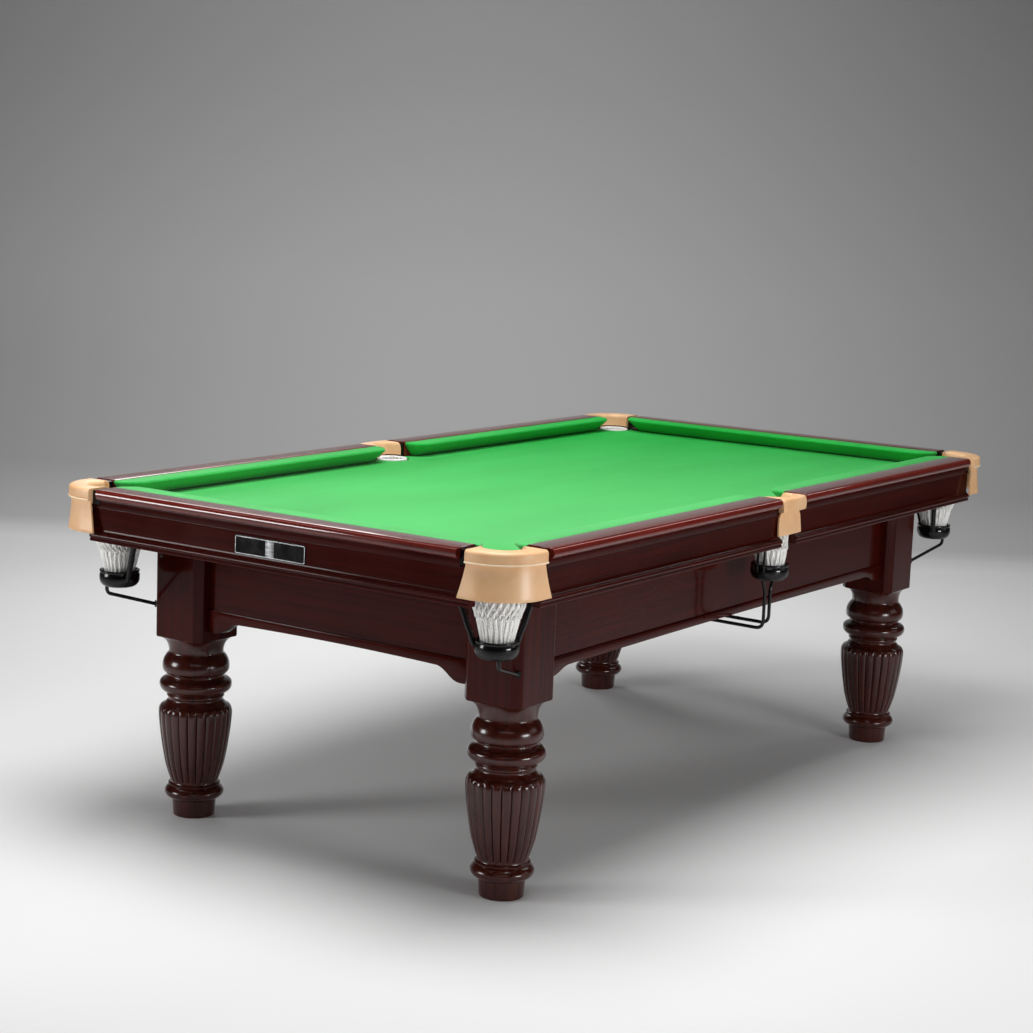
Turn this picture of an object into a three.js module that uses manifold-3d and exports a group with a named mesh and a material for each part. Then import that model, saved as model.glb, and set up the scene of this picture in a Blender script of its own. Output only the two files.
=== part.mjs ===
// Pool table with turned legs, leather-capped pockets and hanging nets.
// Units are millimetres, +Z is up, the long side runs along X, and the origin is on
// the floor under the middle of the table.
import * as THREE from 'three';
import { mergeVertices } from 'three/addons/utils/BufferGeometryUtils.js';
import Module from 'manifold-3d';

const wasm = await Module();
wasm.setup();

// ---------------------------------------------------------------- driving sizes

// playing area, measured between the cushion noses
const playLength = 2235;
const playWidth = 1118;
const cushionDepth = 55;
const railTopWidth = 70;

// clearance between neighbouring pieces
const gap = 0.3;

// bed
const bedHeight = 808;
const railRise = 42;
const clothThickness = 1;
const slateThickness = 25;
const slateEdgeGap = 1;
const slateNotchRadius = 54;
const slateStrapNotchRadius = 87;
const clothNotchMargin = 2;
const notchSides = 24;
const slateCount = 3;

// wooden rail caps
const railLipThickness = 24;
const railLipRadius = 11;
const railBlockGap = 0.5;
const railBlockLift = 0.3;

// fascia boards under the rail lip
const fasciaInset = 21;
const fasciaThickness = 16;
const fasciaHeight = 102.5;
const fasciaTopGap = 0.5;
const fasciaShoulderDrop = 13;
const fasciaCornerReach = 29;
const fasciaMiddleReach = 28;
const beadHeight = 19;
const beadProud = 10;
const stepHeight = 21;
const stepProud = 4;

// cushions
const cushionTopDrop = 1;
const cushionNoseHeight = 36.5;
const cushionNoseBlunt = 5;
const cushionBaseLift = 3;
const cushionBaseDepth = 18;
const cushionCornerReach = 8;
const cornerJawRadius = 57;
const middleJawRadius = 42;
const jawSteps = 6;

// pocket leathers
const pocketHoleRadius = 48;
const cornerHoleInset = 98;
const cornerCapRadius = 106;
const cornerArmEnd = 151;
const throatSet = 2;
const middleHoleInset = 72;
const middleArmEnd = 66;
const middleFrontBow = 5;
const leatherRimThickness = 36;
const leatherSeamDrop = 27;
const leatherEdgeRadius = 8;
const skirtDrop = 106;
const skirtInset = 7;
const skirtFlare = 1;
const skirtSpread = 17;
const skirtThickness = 6;
const middleSkirtHalfWidth = 59;
const middleSkirtNeck = 42;
const middleSkirtShoulder = 18;
const middleSkirtInset = 14;
const middleSkirtFlare = 3;
const middleSkirtDrop = 98;
const capArcSteps = 12;

// pocket irons and ball holders
const ironThickness = 5.4;
const cornerIronThickness = 22.4;
const ironOuterInset = 15;
const ironTopDrop = 4;
const ironHeight = 45;
const ironBackGap = 4;
const cornerIronBackGap = 10;
const ironBowRadius = 50;
const ironBowWidth = 8;
const ironBowHeight = 11;
const armWidth = 14;
const armThickness = 12;
const armKneeDrop = 46;
const armPostClearance = 2;
const armSwing = (22 * Math.PI) / 180;
const middleStrapWidth = 24;
const middleStrapThickness = 6;
const strapTopDrop = 3;
const middleStrapForward = 18;
const strapRadialClearance = 2.5;
const collarThickness = 8;
const collarHeight = 42;
const collarMouthRadius = 28;
const rodRadius = 4.5;
const rodSides = 6;
const mountPlateThickness = 4.5;
const mountPlateWidth = 13;
const mountPlateHeight = 16;
const rodEndDrop = 58;
const rodBendDrop = 18;
const rodBendReach = 10;
const middleRodInnerDrop = 6;
const middleRodOuterDrop = 16;
const middleRodSpacing = 28;
const middleRodNeck = 30;
const middleRodReach = 150;
const middleRodInset = 66;
const middleRodBend = 22;

// nets
const netThickness = 3;
const netTopGap = 2;
const netTopRadius = 45;
const netShoulderDrop = 36.7;
const netShoulderRadius = 58;
const cornerNetInset = 118;
const netWaistDrop = 91.7;
const netWaistRadius = 49;
const netLength = 180;
const netBottomRadius = 37;
const middleNetInset = 64;
const middleNetShoulderDrop = 46.7;
const middleNetShoulderRadius = 44;
const middleNetLength = 148;
const middleNetBottomRadius = 37;
const netSides = 16;

// legs
const postInsetX = 220;
const postInsetY = 128;
const postHalf = 79;
const postChamfer = 17.5;
const postFaceBottom = 463;
const neckHeight = 422;
const neckRadius = 68;
const upperRingZ = 393;
const upperRingRadius = 83;
const upperGrooveZ = 360;
const lowerRingZ = 339;
const lowerRingRadius = 90;
const collarZ = 309;
const collarRadius = 69;
const urnTopZ = 262;
const urnTopRadius = 92;
const urnMiddleZ = 170;
const urnMiddleRadius = 80.5;
const urnBottomZ = 86;
const urnBottomRadius = 60;
const lowerTorusZ = 65;
const lowerTorusRadius = 74;
const footTopZ = 44;
const footRadius = 54;

// levelling feet
const levellerPadRadius = 24;
const levellerRecess = 0.5;
const levellerPadHeight = 12;
const levellerPadBevel = 2;
const levellerStemRadius = 8;
const levellerStemLength = 70;
const levellerClearance = 1.5;
const levellerSides = 16;

// aprons and cross beams
const apronThickness = 25;
const apronRecess = 38;
const apronBottom = 518;
const apronArch = 4;
const earBottomShort = 486;
const earBottomLong = 500;
const earLength = 100;
const earFlat = 24;
const bandHeight = 26;
const bandProud = 5;
const beamHeight = 90;
const beamThickness = 45;

// maker-plate blank on the left end
const plaqueWidth = 210;
const plaqueHeight = 44;
const plaqueThickness = 2;
const plaqueRise = 51;
const plaqueCornerRadius = 5;

// ---------------------------------------------------------------- derived sizes

const outerX = playLength / 2 + cushionDepth + railTopWidth;
const outerY = playWidth / 2 + cushionDepth + railTopWidth;
const railTopHeight = bedHeight + railRise;
const slateTop = bedHeight - clothThickness - gap;
const slateBottom = slateTop - slateThickness;
const frameTop = slateBottom - gap;
const railUnderside = bedHeight + railBlockLift;
const legX = outerX - postInsetX - postHalf;
const legY = outerY - postInsetY - postHalf;
const apronFaceX = legX + postHalf - apronRecess;
const apronFaceY = legY + postHalf - apronRecess;
const fasciaTop = railTopHeight - railLipThickness - fasciaTopGap;
const fasciaBottom = fasciaTop - fasciaHeight;
const fasciaShoulder = fasciaTop - fasciaShoulderDrop;
const fasciaBack = fasciaInset + fasciaThickness;
const railBlockInset = fasciaBack + railBlockGap;
const slateEdgeInset = fasciaBack + slateEdgeGap;
const plaqueCentreZ = fasciaBottom + plaqueRise;
const skirtBottom = railTopHeight - skirtDrop;
const middleSkirtBottom = railTopHeight - middleSkirtDrop;
const leatherSeamZ = railTopHeight - leatherSeamDrop;
const rimBottom = railTopHeight - leatherRimThickness;
const cornerLeatherEnd = cornerArmEnd - cornerIronThickness - 2 * gap;
const middleLeatherEnd = middleArmEnd - ironThickness - 2 * gap;
const ironTop = railTopHeight - ironTopDrop;
const ironBottom = ironTop - ironHeight;
const strapTop = bedHeight - strapTopDrop;
const netTop = rimBottom - netTopGap;
const netShoulderZ = slateBottom - netShoulderDrop;
const netWaistZ = slateBottom - netWaistDrop;
const netBottom = netTop - netLength;
const middleNetShoulderZ = slateBottom - middleNetShoulderDrop;
const middleNetBottom = netTop - middleNetLength;
const middleRodInnerZ = apronBottom - middleRodInnerDrop;
const middleRodOuterZ = apronBottom - middleRodOuterDrop;

// ---------------------------------------------------------------- colours

const finish = {
  mahogany: { color: 0x431410, roughness: 0.22, metalness: 0 },
  cloth: { color: 0x4ac765, roughness: 0.9, metalness: 0 },
  leather: { color: 0xe0b893, roughness: 0.5, metalness: 0 },
  slate: { color: 0x565a5e, roughness: 0.7, metalness: 0 },
  cord: { color: 0xe6e4de, roughness: 0.85, metalness: 0 },
  blackIron: { color: 0x101010, roughness: 0.25, metalness: 0.6 },
  softwood: { color: 0x9a7650, roughness: 0.7, metalness: 0 },
  steel: { color: 0x8c8c8c, roughness: 0.35, metalness: 1 },
  plate: { color: 0x15151b, roughness: 0.3, metalness: 0.2 },
};

const table = new THREE.Group();

function addMesh(name, geometry, look) {
  const mesh = new THREE.Mesh(geometry, new THREE.MeshStandardMaterial(look));
  mesh.name = name;
  table.add(mesh);
  return mesh;
}

// ---------------------------------------------------------------- geometry helpers

// Keeps only merged positions, so that booleans see shared vertices.
function bare(geometry) {
  const copy = geometry.clone();
  copy.deleteAttribute('normal');
  copy.deleteAttribute('uv');
  return mergeVertices(copy, 1e-4);
}

function signedVolume(position, index) {
  const a = new THREE.Vector3();
  const b = new THREE.Vector3();
  const c = new THREE.Vector3();
  let total = 0;
  for (let i = 0; i < index.length; i += 3) {
    a.fromArray(position, index[i] * 3);
    b.fromArray(position, index[i + 1] * 3);
    c.fromArray(position, index[i + 2] * 3);
    total += a.dot(b.cross(c));
  }
  return total / 6;
}

// Makes an indexed geometry whose faces point out.
function closedGeometry(position, index) {
  const faces = Array.from(index);
  if (signedVolume(position, faces) < 0) {
    faces.reverse();
  }
  const geometry = new THREE.BufferGeometry();
  geometry.setAttribute('position', new THREE.Float32BufferAttribute(position, 3));
  geometry.setIndex(faces);
  geometry.computeVertexNormals();
  return geometry;
}

// Moves every vertex through `place`, and turns the faces over if that mirrors them.
function mapped(geometry, place) {
  const source = bare(geometry);
  const from = source.getAttribute('position');
  const point = new THREE.Vector3();
  const position = [];
  for (let i = 0; i < from.count; i += 1) {
    point.fromBufferAttribute(from, i);
    position.push(...place(point.x, point.y, point.z));
  }
  return closedGeometry(position, source.getIndex().array);
}

function toSolid(geometry) {
  const source = bare(geometry);
  const solidMesh = new wasm.Mesh({
    numProp: 3,
    vertProperties: new Float32Array(source.getAttribute('position').array),
    triVerts: new Uint32Array(source.getIndex().array),
  });
  return new wasm.Manifold(solidMesh);
}

function toGeometry(solid) {
  const result = solid.getMesh();
  return closedGeometry(Array.from(result.vertProperties), result.triVerts);
}

function union(geometries) {
  const [first, ...others] = geometries.map(toSolid);
  return toGeometry(others.reduce((sum, next) => sum.add(next), first));
}

function difference(geometry, cutters) {
  return toGeometry(cutters.map(toSolid).reduce((rest, cut) => rest.subtract(cut), toSolid(geometry)));
}

function box(x0, x1, y0, y1, z0, z1) {
  const geometry = new THREE.BoxGeometry(x1 - x0, y1 - y0, z1 - z0);
  return geometry.translate((x0 + x1) / 2, (y0 + y1) / 2, (z0 + z1) / 2);
}

function upright(radius, x, y, z0, z1, sides) {
  const geometry = new THREE.CylinderGeometry(radius, radius, z1 - z0, sides);
  return geometry.rotateX(Math.PI / 2).translate(x, y, (z0 + z1) / 2);
}

function shapeFrom(points) {
  return new THREE.Shape(points.map(([x, y]) => new THREE.Vector2(x, y)));
}

// Extrudes a closed outline drawn in X and Y from z0 up to z1.
function slab(points, z0, z1) {
  const geometry = new THREE.ExtrudeGeometry(shapeFrom(points), { depth: z1 - z0, bevelEnabled: false });
  return geometry.translate(0, 0, z0);
}

function flatCap(ring) {
  const normal = new THREE.Vector3();
  ring.forEach((point, i) => {
    normal.add(new THREE.Vector3().crossVectors(point, ring[(i + 1) % ring.length]));
  });
  const size = [Math.abs(normal.x), Math.abs(normal.y), Math.abs(normal.z)];
  const drop = size.indexOf(Math.max(...size));
  const axes = ['x', 'y', 'z'].filter((axis, i) => i !== drop);
  const flat = ring.map((point) => new THREE.Vector2(point[axes[0]], point[axes[1]]));
  return THREE.ShapeUtils.triangulateShape(flat, []);
}

// Skins a row of rings with equal point counts, and closes it with end caps,
// or joins the last ring to the first.
function loft(rings, closed = false) {
  const count = rings[0].length;
  const position = [];
  const index = [];
  rings.forEach((ring) => ring.forEach((point) => position.push(point.x, point.y, point.z)));
  const spans = closed ? rings.length : rings.length - 1;
  for (let i = 0; i < spans; i += 1) {
    const here = i * count;
    const next = ((i + 1) % rings.length) * count;
    for (let j = 0; j < count; j += 1) {
      const k = (j + 1) % count;
      index.push(here + j, here + k, next + k, here + j, next + k, next + j);
    }
  }
  if (!closed) {
    const last = (rings.length - 1) * count;
    const turn = capTurn(rings[0]);
    flatCap(rings[0]).forEach(([a, b, c]) => index.push(...(turn ? [c, b, a] : [a, b, c])));
    const endTurn = capTurn(rings[rings.length - 1]);
    flatCap(rings[rings.length - 1]).forEach(([a, b, c]) => {
      index.push(...(endTurn ? [last + a, last + b, last + c] : [last + c, last + b, last + a]));
    });
  }
  return closedGeometry(position, index);
}

// Says whether the cap triangles follow the ring's own direction.
function capTurn(ring) {
  const [a, b, c] = flatCap(ring)[0];
  const ringNormal = new THREE.Vector3();
  const origin = ring[0];
  ring.forEach((point, i) => {
    const p = point.clone().sub(origin);
    const q = ring[(i + 1) % ring.length].clone().sub(origin);
    ringNormal.add(p.cross(q));
  });
  const faceNormal = ring[b].clone().sub(ring[a]).cross(ring[c].clone().sub(ring[a]));
  return faceNormal.dot(ringNormal) > 0;
}

// A round bar through the given points.
function bar(points, radius, sides) {
  const rings = points.map((point, i) => {
    const before = points[Math.max(i - 1, 0)];
    const after = points[Math.min(i + 1, points.length - 1)];
    const tangent = after.clone().sub(before).normalize();
    const side = new THREE.Vector3().crossVectors(tangent, sideReference(points)).normalize();
    const up = new THREE.Vector3().crossVectors(side, tangent);
    return Array.from({ length: sides }, (_, j) => {
      const angle = (j / sides) * 2 * Math.PI;
      const offset = side.clone().multiplyScalar(Math.cos(angle) * radius);
      return point.clone().add(offset).addScaledVector(up, Math.sin(angle) * radius);
    });
  });
  return loft(rings);
}

// A direction square to the plane that the bar bends in.
function sideReference(points) {
  const first = points[1].clone().sub(points[0]);
  const last = points[points.length - 1].clone().sub(points[points.length - 2]);
  const square = first.clone().cross(last);
  return square.lengthSq() > 1 ? square.normalize() : new THREE.Vector3(0, 0, 1);
}

// Rounds the corner of a path at `corner` with a short curve of the given reach.
function bend(from, corner, to, reach) {
  const start = corner.clone().add(from.clone().sub(corner).setLength(reach));
  const end = corner.clone().add(to.clone().sub(corner).setLength(reach));
  return new THREE.QuadraticBezierCurve3(start, corner, end).getPoints(3);
}

function vec(x, y, z) {
  return new THREE.Vector3(x, y, z);
}

function around(cx, cy, radius, angle, z) {
  return vec(cx + radius * Math.cos(angle), cy + radius * Math.sin(angle), z);
}

// ---------------------------------------------------------------- places

const corners = [
  { tag: 'front_left', sx: -1, sy: -1 },
  { tag: 'front_right', sx: 1, sy: -1 },
  { tag: 'rear_left', sx: -1, sy: 1 },
  { tag: 'rear_right', sx: 1, sy: 1 },
];
const middles = [
  { tag: 'front_middle', sy: -1 },
  { tag: 'rear_middle', sy: 1 },
];

// Corner pieces are drawn by their distances in from the two outer sides.
function atCorner({ sx, sy }) {
  return (x, y, z) => [sx * (outerX - x), sy * (outerY - y), z];
}

// Middle-pocket pieces are drawn by X and by the distance in from the long side.
function atMiddle({ sy }) {
  return (x, y, z) => [x, sy * (outerY - y), z];
}

// The six runs of rail: `start` and `end` are distances along the side, and the
// reaches say how far the fascia's lower part and the cushion run on past the cap.
const runs = [
  ...corners.map(({ tag, sx, sy }) => ({
    tag,
    start: middleArmEnd,
    end: outerX - cornerArmEnd,
    startReach: { fascia: fasciaMiddleReach, cushion: 0 },
    endReach: { fascia: fasciaCornerReach, cushion: cushionCornerReach },
    jawStart: middleJawRadius,
    jawEnd: cornerJawRadius,
    place: (along, inset, z) => [sx * along, sy * (outerY - inset), z],
  })),
  ...[-1, 1].map((sx) => ({
    tag: sx < 0 ? 'left_end' : 'right_end',
    start: cornerArmEnd - outerY,
    end: outerY - cornerArmEnd,
    startReach: { fascia: fasciaCornerReach, cushion: cushionCornerReach },
    endReach: { fascia: fasciaCornerReach, cushion: cushionCornerReach },
    jawStart: cornerJawRadius,
    jawEnd: cornerJawRadius,
    place: (along, inset, z) => [sx * (outerX - inset), along, z],
  })),
];

// Extrudes a section, drawn by inset and height, along a run.
function runSolid(section, start, end) {
  const depth = end - start;
  const geometry = new THREE.ExtrudeGeometry(shapeFrom(section), { depth, bevelEnabled: false });
  return mapped(geometry, (inset, z, along) => [along + start, inset, z]);
}

function arcPoints(x, y, radius, from, to, steps) {
  return Array.from({ length: steps + 1 }, (_, i) => {
    const angle = from + ((to - from) * i) / steps;
    return [x + radius * Math.cos(angle), y + radius * Math.sin(angle)];
  });
}

// ---------------------------------------------------------------- rails, fascias, cushions

function railSection() {
  const lipMiddle = railTopHeight - railLipThickness / 2;
  const halfLip = railLipThickness / 2;
  const nose = arcPoints(0, 0, 1, Math.PI / 2, 1.5 * Math.PI, 6).map(([x, y]) => [
    railLipRadius + x * railLipRadius,
    lipMiddle + y * halfLip,
  ]);
  return [
    [railTopWidth - gap, railTopHeight],
    ...nose,
    [railBlockInset, railTopHeight - railLipThickness],
    [railBlockInset, railUnderside],
    [railTopWidth - gap, railUnderside],
  ];
}

// The whole board up to the cap, or only the part below its shoulder.
function fasciaSection(whole) {
  const back = fasciaBack;
  const beadMiddle = fasciaBottom + beadHeight / 2;
  const bead = arcPoints(0, 0, 1, Math.PI / 2, 1.5 * Math.PI, 5).map(([x, y]) => [
    fasciaInset + x * beadProud,
    beadMiddle + y * (beadHeight / 2),
  ]);
  const top = fasciaTop - gap;
  const step = [
    [back, top],
    [fasciaInset - stepProud, top],
    [fasciaInset - stepProud, top - stepHeight],
    [fasciaInset, top - stepHeight],
  ];
  const shoulder = [
    [back, fasciaShoulder],
    [fasciaInset, fasciaShoulder],
  ];
  return [...(whole ? step : shoulder), ...bead, [back, fasciaBottom]];
}

function cushionSection() {
  const nose = railTopWidth + cushionDepth;
  const noseZ = bedHeight + cushionNoseHeight;
  const top = railTopHeight - cushionTopDrop;
  const base = bedHeight + cushionBaseLift;
  return [
    [railTopWidth, top],
    [nose - 3 * cushionNoseBlunt, top - 0.5 * cushionTopDrop],
    [nose - cushionNoseBlunt, noseZ + 0.6 * cushionNoseBlunt],
    [nose, noseZ - 0.2 * cushionNoseBlunt],
    [nose - 0.2 * cushionNoseBlunt, noseZ - cushionNoseBlunt],
    [railTopWidth + cushionBaseDepth, base],
    [railTopWidth, base],
  ];
}

// Plan of a cushion: both ends round off from the nose line back to the wood.
function cushionPlan(run) {
  const nose = railTopWidth + cushionDepth;
  const start = run.start - run.startReach.cushion + gap;
  const end = run.end + run.endReach.cushion - gap;
  const jaw = (x, reach, from, to) => arcPoints(0, 0, 1, from, to, jawSteps).map(([px, py]) => [
    x + px * reach,
    nose + (py - 1) * cushionDepth,
  ]);
  return [
    [start, railTopWidth - 1],
    ...jaw(start + run.jawStart, run.jawStart, Math.PI, Math.PI / 2),
    ...jaw(end - run.jawEnd, run.jawEnd, Math.PI / 2, 0),
    [end, railTopWidth - 1],
  ];
}

runs.forEach((run) => {
  const rail = runSolid(railSection(), run.start, run.end);
  addMesh(`rail_${run.tag}`, mapped(rail, run.place), finish.mahogany);

  const board = runSolid(fasciaSection(true), run.start, run.end);
  const lowStart = run.start - run.startReach.fascia;
  const lowEnd = run.end + run.endReach.fascia;
  const lowBoard = runSolid(fasciaSection(false), lowStart, lowEnd);
  addMesh(`fascia_${run.tag}`, mapped(union([board, lowBoard]), run.place), finish.mahogany);

  const stripStart = run.start - run.startReach.cushion;
  const stripEnd = run.end + run.endReach.cushion;
  const strip = toSolid(runSolid(cushionSection(), stripStart, stripEnd));
  const plan = toSolid(slab(cushionPlan(run), bedHeight, railTopHeight));
  const cushion = toGeometry(strip.intersect(plan));
  addMesh(`cushion_${run.tag}`, mapped(cushion, run.place), finish.cloth);
});

// ---------------------------------------------------------------- bed

const slateHalfX = outerX - slateEdgeInset;
const slateHalfY = outerY - slateEdgeInset;

// Cuts the pocket drops, with room for the straps under the rails.
function bedCutters(z0, z1, margin) {
  const strapBand = railTopWidth - 2;
  const cutters = [];
  corners.forEach((corner) => {
    const inset = cornerHoleInset;
    const drop = upright(slateNotchRadius + margin, inset, inset, z0, z1, notchSides);
    const wide = upright(slateStrapNotchRadius + margin, inset, inset, z0, z1, notchSides);
    const reach = cornerHoleInset + slateStrapNotchRadius + 2 * margin;
    const bands = union([
      box(0, reach, 0, strapBand + margin, z0, z1),
      box(0, strapBand + margin, 0, reach, z0, z1),
    ]);
    const straps = toGeometry(toSolid(wide).intersect(toSolid(bands)));
    const tip = box(0, cornerHoleInset, 0, cornerHoleInset, z0, z1);
    cutters.push(mapped(union([drop, straps, tip]), atCorner(corner)));
  });
  middles.forEach((middle) => {
    const drop = upright(slateNotchRadius + margin, 0, middleHoleInset, z0, z1, notchSides);
    const half = middleArmEnd + middleStrapThickness + margin;
    const mouth = box(-half, half, 0, strapBand + margin, z0, z1);
    cutters.push(mapped(union([drop, mouth]), atMiddle(middle)));
  });
  return cutters;
}

const slateNames = ['slate_left', 'slate_middle', 'slate_right'];
const slateLength = (2 * slateHalfX) / slateCount;
slateNames.slice(0, slateCount).forEach((name, i) => {
  const x0 = -slateHalfX + i * slateLength + gap / 2;
  const x1 = x0 + slateLength - gap;
  const plain = box(x0, x1, -slateHalfY, slateHalfY, slateBottom, slateTop);
  addMesh(name, difference(plain, bedCutters(slateBottom - 1, slateTop + 1, 0)), finish.slate);
});

const clothTop = slateTop + gap + clothThickness;
const clothSheet = box(
  -slateHalfX + clothNotchMargin,
  slateHalfX - clothNotchMargin,
  -slateHalfY + clothNotchMargin,
  slateHalfY - clothNotchMargin,
  slateTop + gap,
  clothTop,
);
const clothCutters = bedCutters(slateTop - 1, clothTop + 1, clothNotchMargin);
addMesh('bed_cloth', difference(clothSheet, clothCutters), finish.cloth);

// ---------------------------------------------------------------- pocket leathers

// One section of the leather: `outer` is its outer edge in plan, `out` points away
// from the table, `inner` is the edge of the hole, and `along` points to the rail
// that the skirt widens over as it falls.
function leatherRing(outer, out, inner, skirt, along = vec(0, 0, 0)) {
  const across = inner.clone().sub(outer);
  const width = across.length();
  const inward = across.divideScalar(width);
  const place = (fromOuter, z) => vec(outer.x + inward.x * fromOuter, outer.y + inward.y * fromOuter, z);
  const flared = (proud, z, spread) => vec(
    outer.x + out.x * proud + along.x * spread,
    outer.y + out.y * proud + along.y * spread,
    z,
  );
  const middleZ = (leatherSeamZ + skirt.bottom) / 2;
  const middleProud = 0.35 * skirt.flare - 0.65 * skirt.inset;
  return [
    flared(skirt.flare - skirtThickness, skirt.bottom, skirt.spread),
    flared(skirt.flare, skirt.bottom, skirt.spread),
    flared(middleProud, middleZ, skirt.spread * 0.4),
    flared(-skirt.inset, leatherSeamZ - 2, 0),
    flared(0, leatherSeamZ, 0),
    place(0, railTopHeight - leatherEdgeRadius),
    place(leatherEdgeRadius * 0.3, railTopHeight - leatherEdgeRadius * 0.3),
    place(leatherEdgeRadius, railTopHeight),
    place(width - leatherEdgeRadius, railTopHeight),
    place(width - leatherEdgeRadius * 0.3, railTopHeight - leatherEdgeRadius * 0.3),
    place(width, railTopHeight - leatherEdgeRadius),
    place(width, rimBottom),
    place(skirt.inset + skirtThickness + 2, rimBottom),
    flared(middleProud - skirtThickness, middleZ, skirt.spread * 0.4),
  ];
}

function cornerCap() {
  const hole = cornerHoleInset;
  const centre = cornerCapRadius;
  const skirt = { bottom: skirtBottom, flare: skirtFlare, inset: skirtInset, spread: skirtSpread };
  const stations = [];
  const far = cornerLeatherEnd;
  const [alongX, alongY] = [vec(1, 0, 0), vec(0, 1, 0)];
  stations.push(leatherRing(vec(far, 0, 0), vec(0, -1, 0), vec(far, railTopWidth, 0), skirt, alongX));
  const outerArc = arcPoints(centre, centre, cornerCapRadius, -Math.PI / 2, -Math.PI, capArcSteps);
  const throat = -Math.acos((far - throatSet - hole) / pocketHoleRadius);
  const innerArc = arcPoints(hole, hole, pocketHoleRadius, throat, -1.5 * Math.PI - throat, capArcSteps);
  outerArc.forEach(([x, y], i) => {
    const outer = vec(x, y, 0);
    const out = outer.clone().sub(vec(centre, centre, 0)).normalize();
    const [ix, iy] = innerArc[i];
    stations.push(leatherRing(outer, out, vec(ix, iy, 0), skirt));
  });
  stations.push(leatherRing(vec(0, far, 0), vec(-1, 0, 0), vec(railTopWidth, far, 0), skirt, alongY));
  return loft(stations);
}

function middleCap() {
  const half = middleLeatherEnd;
  const rimStations = [];
  const steps = capArcSteps / 2 + 2;
  const inner = arcPoints(0, middleHoleInset, pocketHoleRadius, 0, -Math.PI, steps);
  inner.forEach(([ix, iy], i) => {
    const share = (2 * i) / steps - 1;
    const x = -share * half;
    const y = -middleFrontBow * (1 - share * share);
    rimStations.push({ outer: [x, y], inner: [ix, Math.min(iy, railTopWidth - 2)] });
  });
  const rim = rimStations.map(({ outer, inner: [ix, iy] }) => [
    vec(outer[0], outer[1], rimBottom),
    vec(outer[0], outer[1], railTopHeight - leatherEdgeRadius),
    vec(outer[0], outer[1] + leatherEdgeRadius * 0.3, railTopHeight - leatherEdgeRadius * 0.3),
    vec(outer[0], outer[1] + leatherEdgeRadius, railTopHeight),
    vec(ix, iy - leatherEdgeRadius * 0.6, railTopHeight),
    vec(ix, iy, railTopHeight - leatherEdgeRadius),
    vec(ix, iy, rimBottom),
  ]);
  const skirtSteps = 4;
  const back = middleSkirtInset + skirtThickness - 1;
  const shoulderZ = rimBottom - middleSkirtShoulder;
  const skirtRings = Array.from({ length: skirtSteps + 1 }, (_, i) => {
    const share = (2 * i) / skirtSteps - 1;
    const neck = share * middleSkirtNeck;
    const wide = share * middleSkirtHalfWidth;
    return [
      vec(neck, middleSkirtInset, rimBottom + 2),
      vec(wide * 0.95, middleSkirtInset, shoulderZ),
      vec(wide, middleSkirtInset - middleSkirtFlare, middleSkirtBottom),
      vec(wide, back - middleSkirtFlare, middleSkirtBottom),
      vec(wide * 0.95, back, shoulderZ),
      vec(neck, back, rimBottom + 2),
    ];
  });
  return union([loft(rim), loft(skirtRings)]);
}

corners.forEach((corner) => {
  addMesh(`leather_${corner.tag}`, mapped(cornerCap(), atCorner(corner)), finish.leather);
});
middles.forEach((middle) => {
  addMesh(`leather_${middle.tag}`, mapped(middleCap(), atMiddle(middle)), finish.leather);
});

// ---------------------------------------------------------------- nets

// A tapering cup of cord, open at the top and at the bottom, whose middle drifts
// inboard as it falls: each level is [height, outer radius, centre].
function netShell(levels) {
  const path = [
    ...levels.map(([z, radius, centre]) => [z, radius, centre]),
    ...levels.map(([z, radius, centre]) => [z, radius - netThickness, centre]).reverse(),
  ];
  const rings = Array.from({ length: netSides }, (_, i) => {
    const angle = (i / netSides) * 2 * Math.PI;
    return path.map(([z, radius, [cx, cy]]) => around(cx, cy, radius, angle, z));
  });
  return loft(rings, true);
}

const cornerNetLevels = [
  [netTop, netTopRadius, [cornerHoleInset, cornerHoleInset]],
  [slateBottom, netTopRadius + 4, [cornerHoleInset + 3, cornerHoleInset + 3]],
  [netShoulderZ, netShoulderRadius, [cornerNetInset - 8, cornerNetInset - 8]],
  [(netShoulderZ + netWaistZ) / 2, netShoulderRadius, [cornerNetInset - 2, cornerNetInset - 2]],
  [netWaistZ, netWaistRadius, [cornerNetInset, cornerNetInset]],
  [netBottom, netBottomRadius, [cornerNetInset, cornerNetInset]],
];
const middleNetLevels = [
  [netTop, netTopRadius, [0, middleHoleInset]],
  [slateBottom, netTopRadius + 1, [0, middleHoleInset - 2]],
  [middleNetShoulderZ, middleNetShoulderRadius, [0, middleNetInset + 2]],
  [(middleNetShoulderZ + middleNetBottom) / 2, middleNetShoulderRadius - 2, [0, middleNetInset]],
  [middleNetBottom, middleNetBottomRadius, [0, middleNetInset]],
];

corners.forEach((corner) => {
  addMesh(`net_${corner.tag}`, mapped(netShell(cornerNetLevels), atCorner(corner)), finish.cord);
});
middles.forEach((middle) => {
  addMesh(`net_${middle.tag}`, mapped(netShell(middleNetLevels), atMiddle(middle)), finish.cord);
});

// ---------------------------------------------------------------- ball holders

// A strap that follows the net's side at one heading from its middle.
function strap(levels, heading, width, thickness) {
  const across = vec(-Math.sin(heading), Math.cos(heading), 0).multiplyScalar(width / 2);
  const away = vec(Math.cos(heading), Math.sin(heading), 0);
  const rings = levels.map(([z, radius, [cx, cy]]) => {
    const inner = vec(cx, cy, z).addScaledVector(away, radius);
    const outer = vec(cx, cy, z).addScaledVector(away, radius + thickness);
    return [
      inner.clone().sub(across),
      outer.clone().sub(across),
      outer.clone().add(across),
      inner.clone().add(across),
    ];
  });
  return loft(rings);
}

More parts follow.
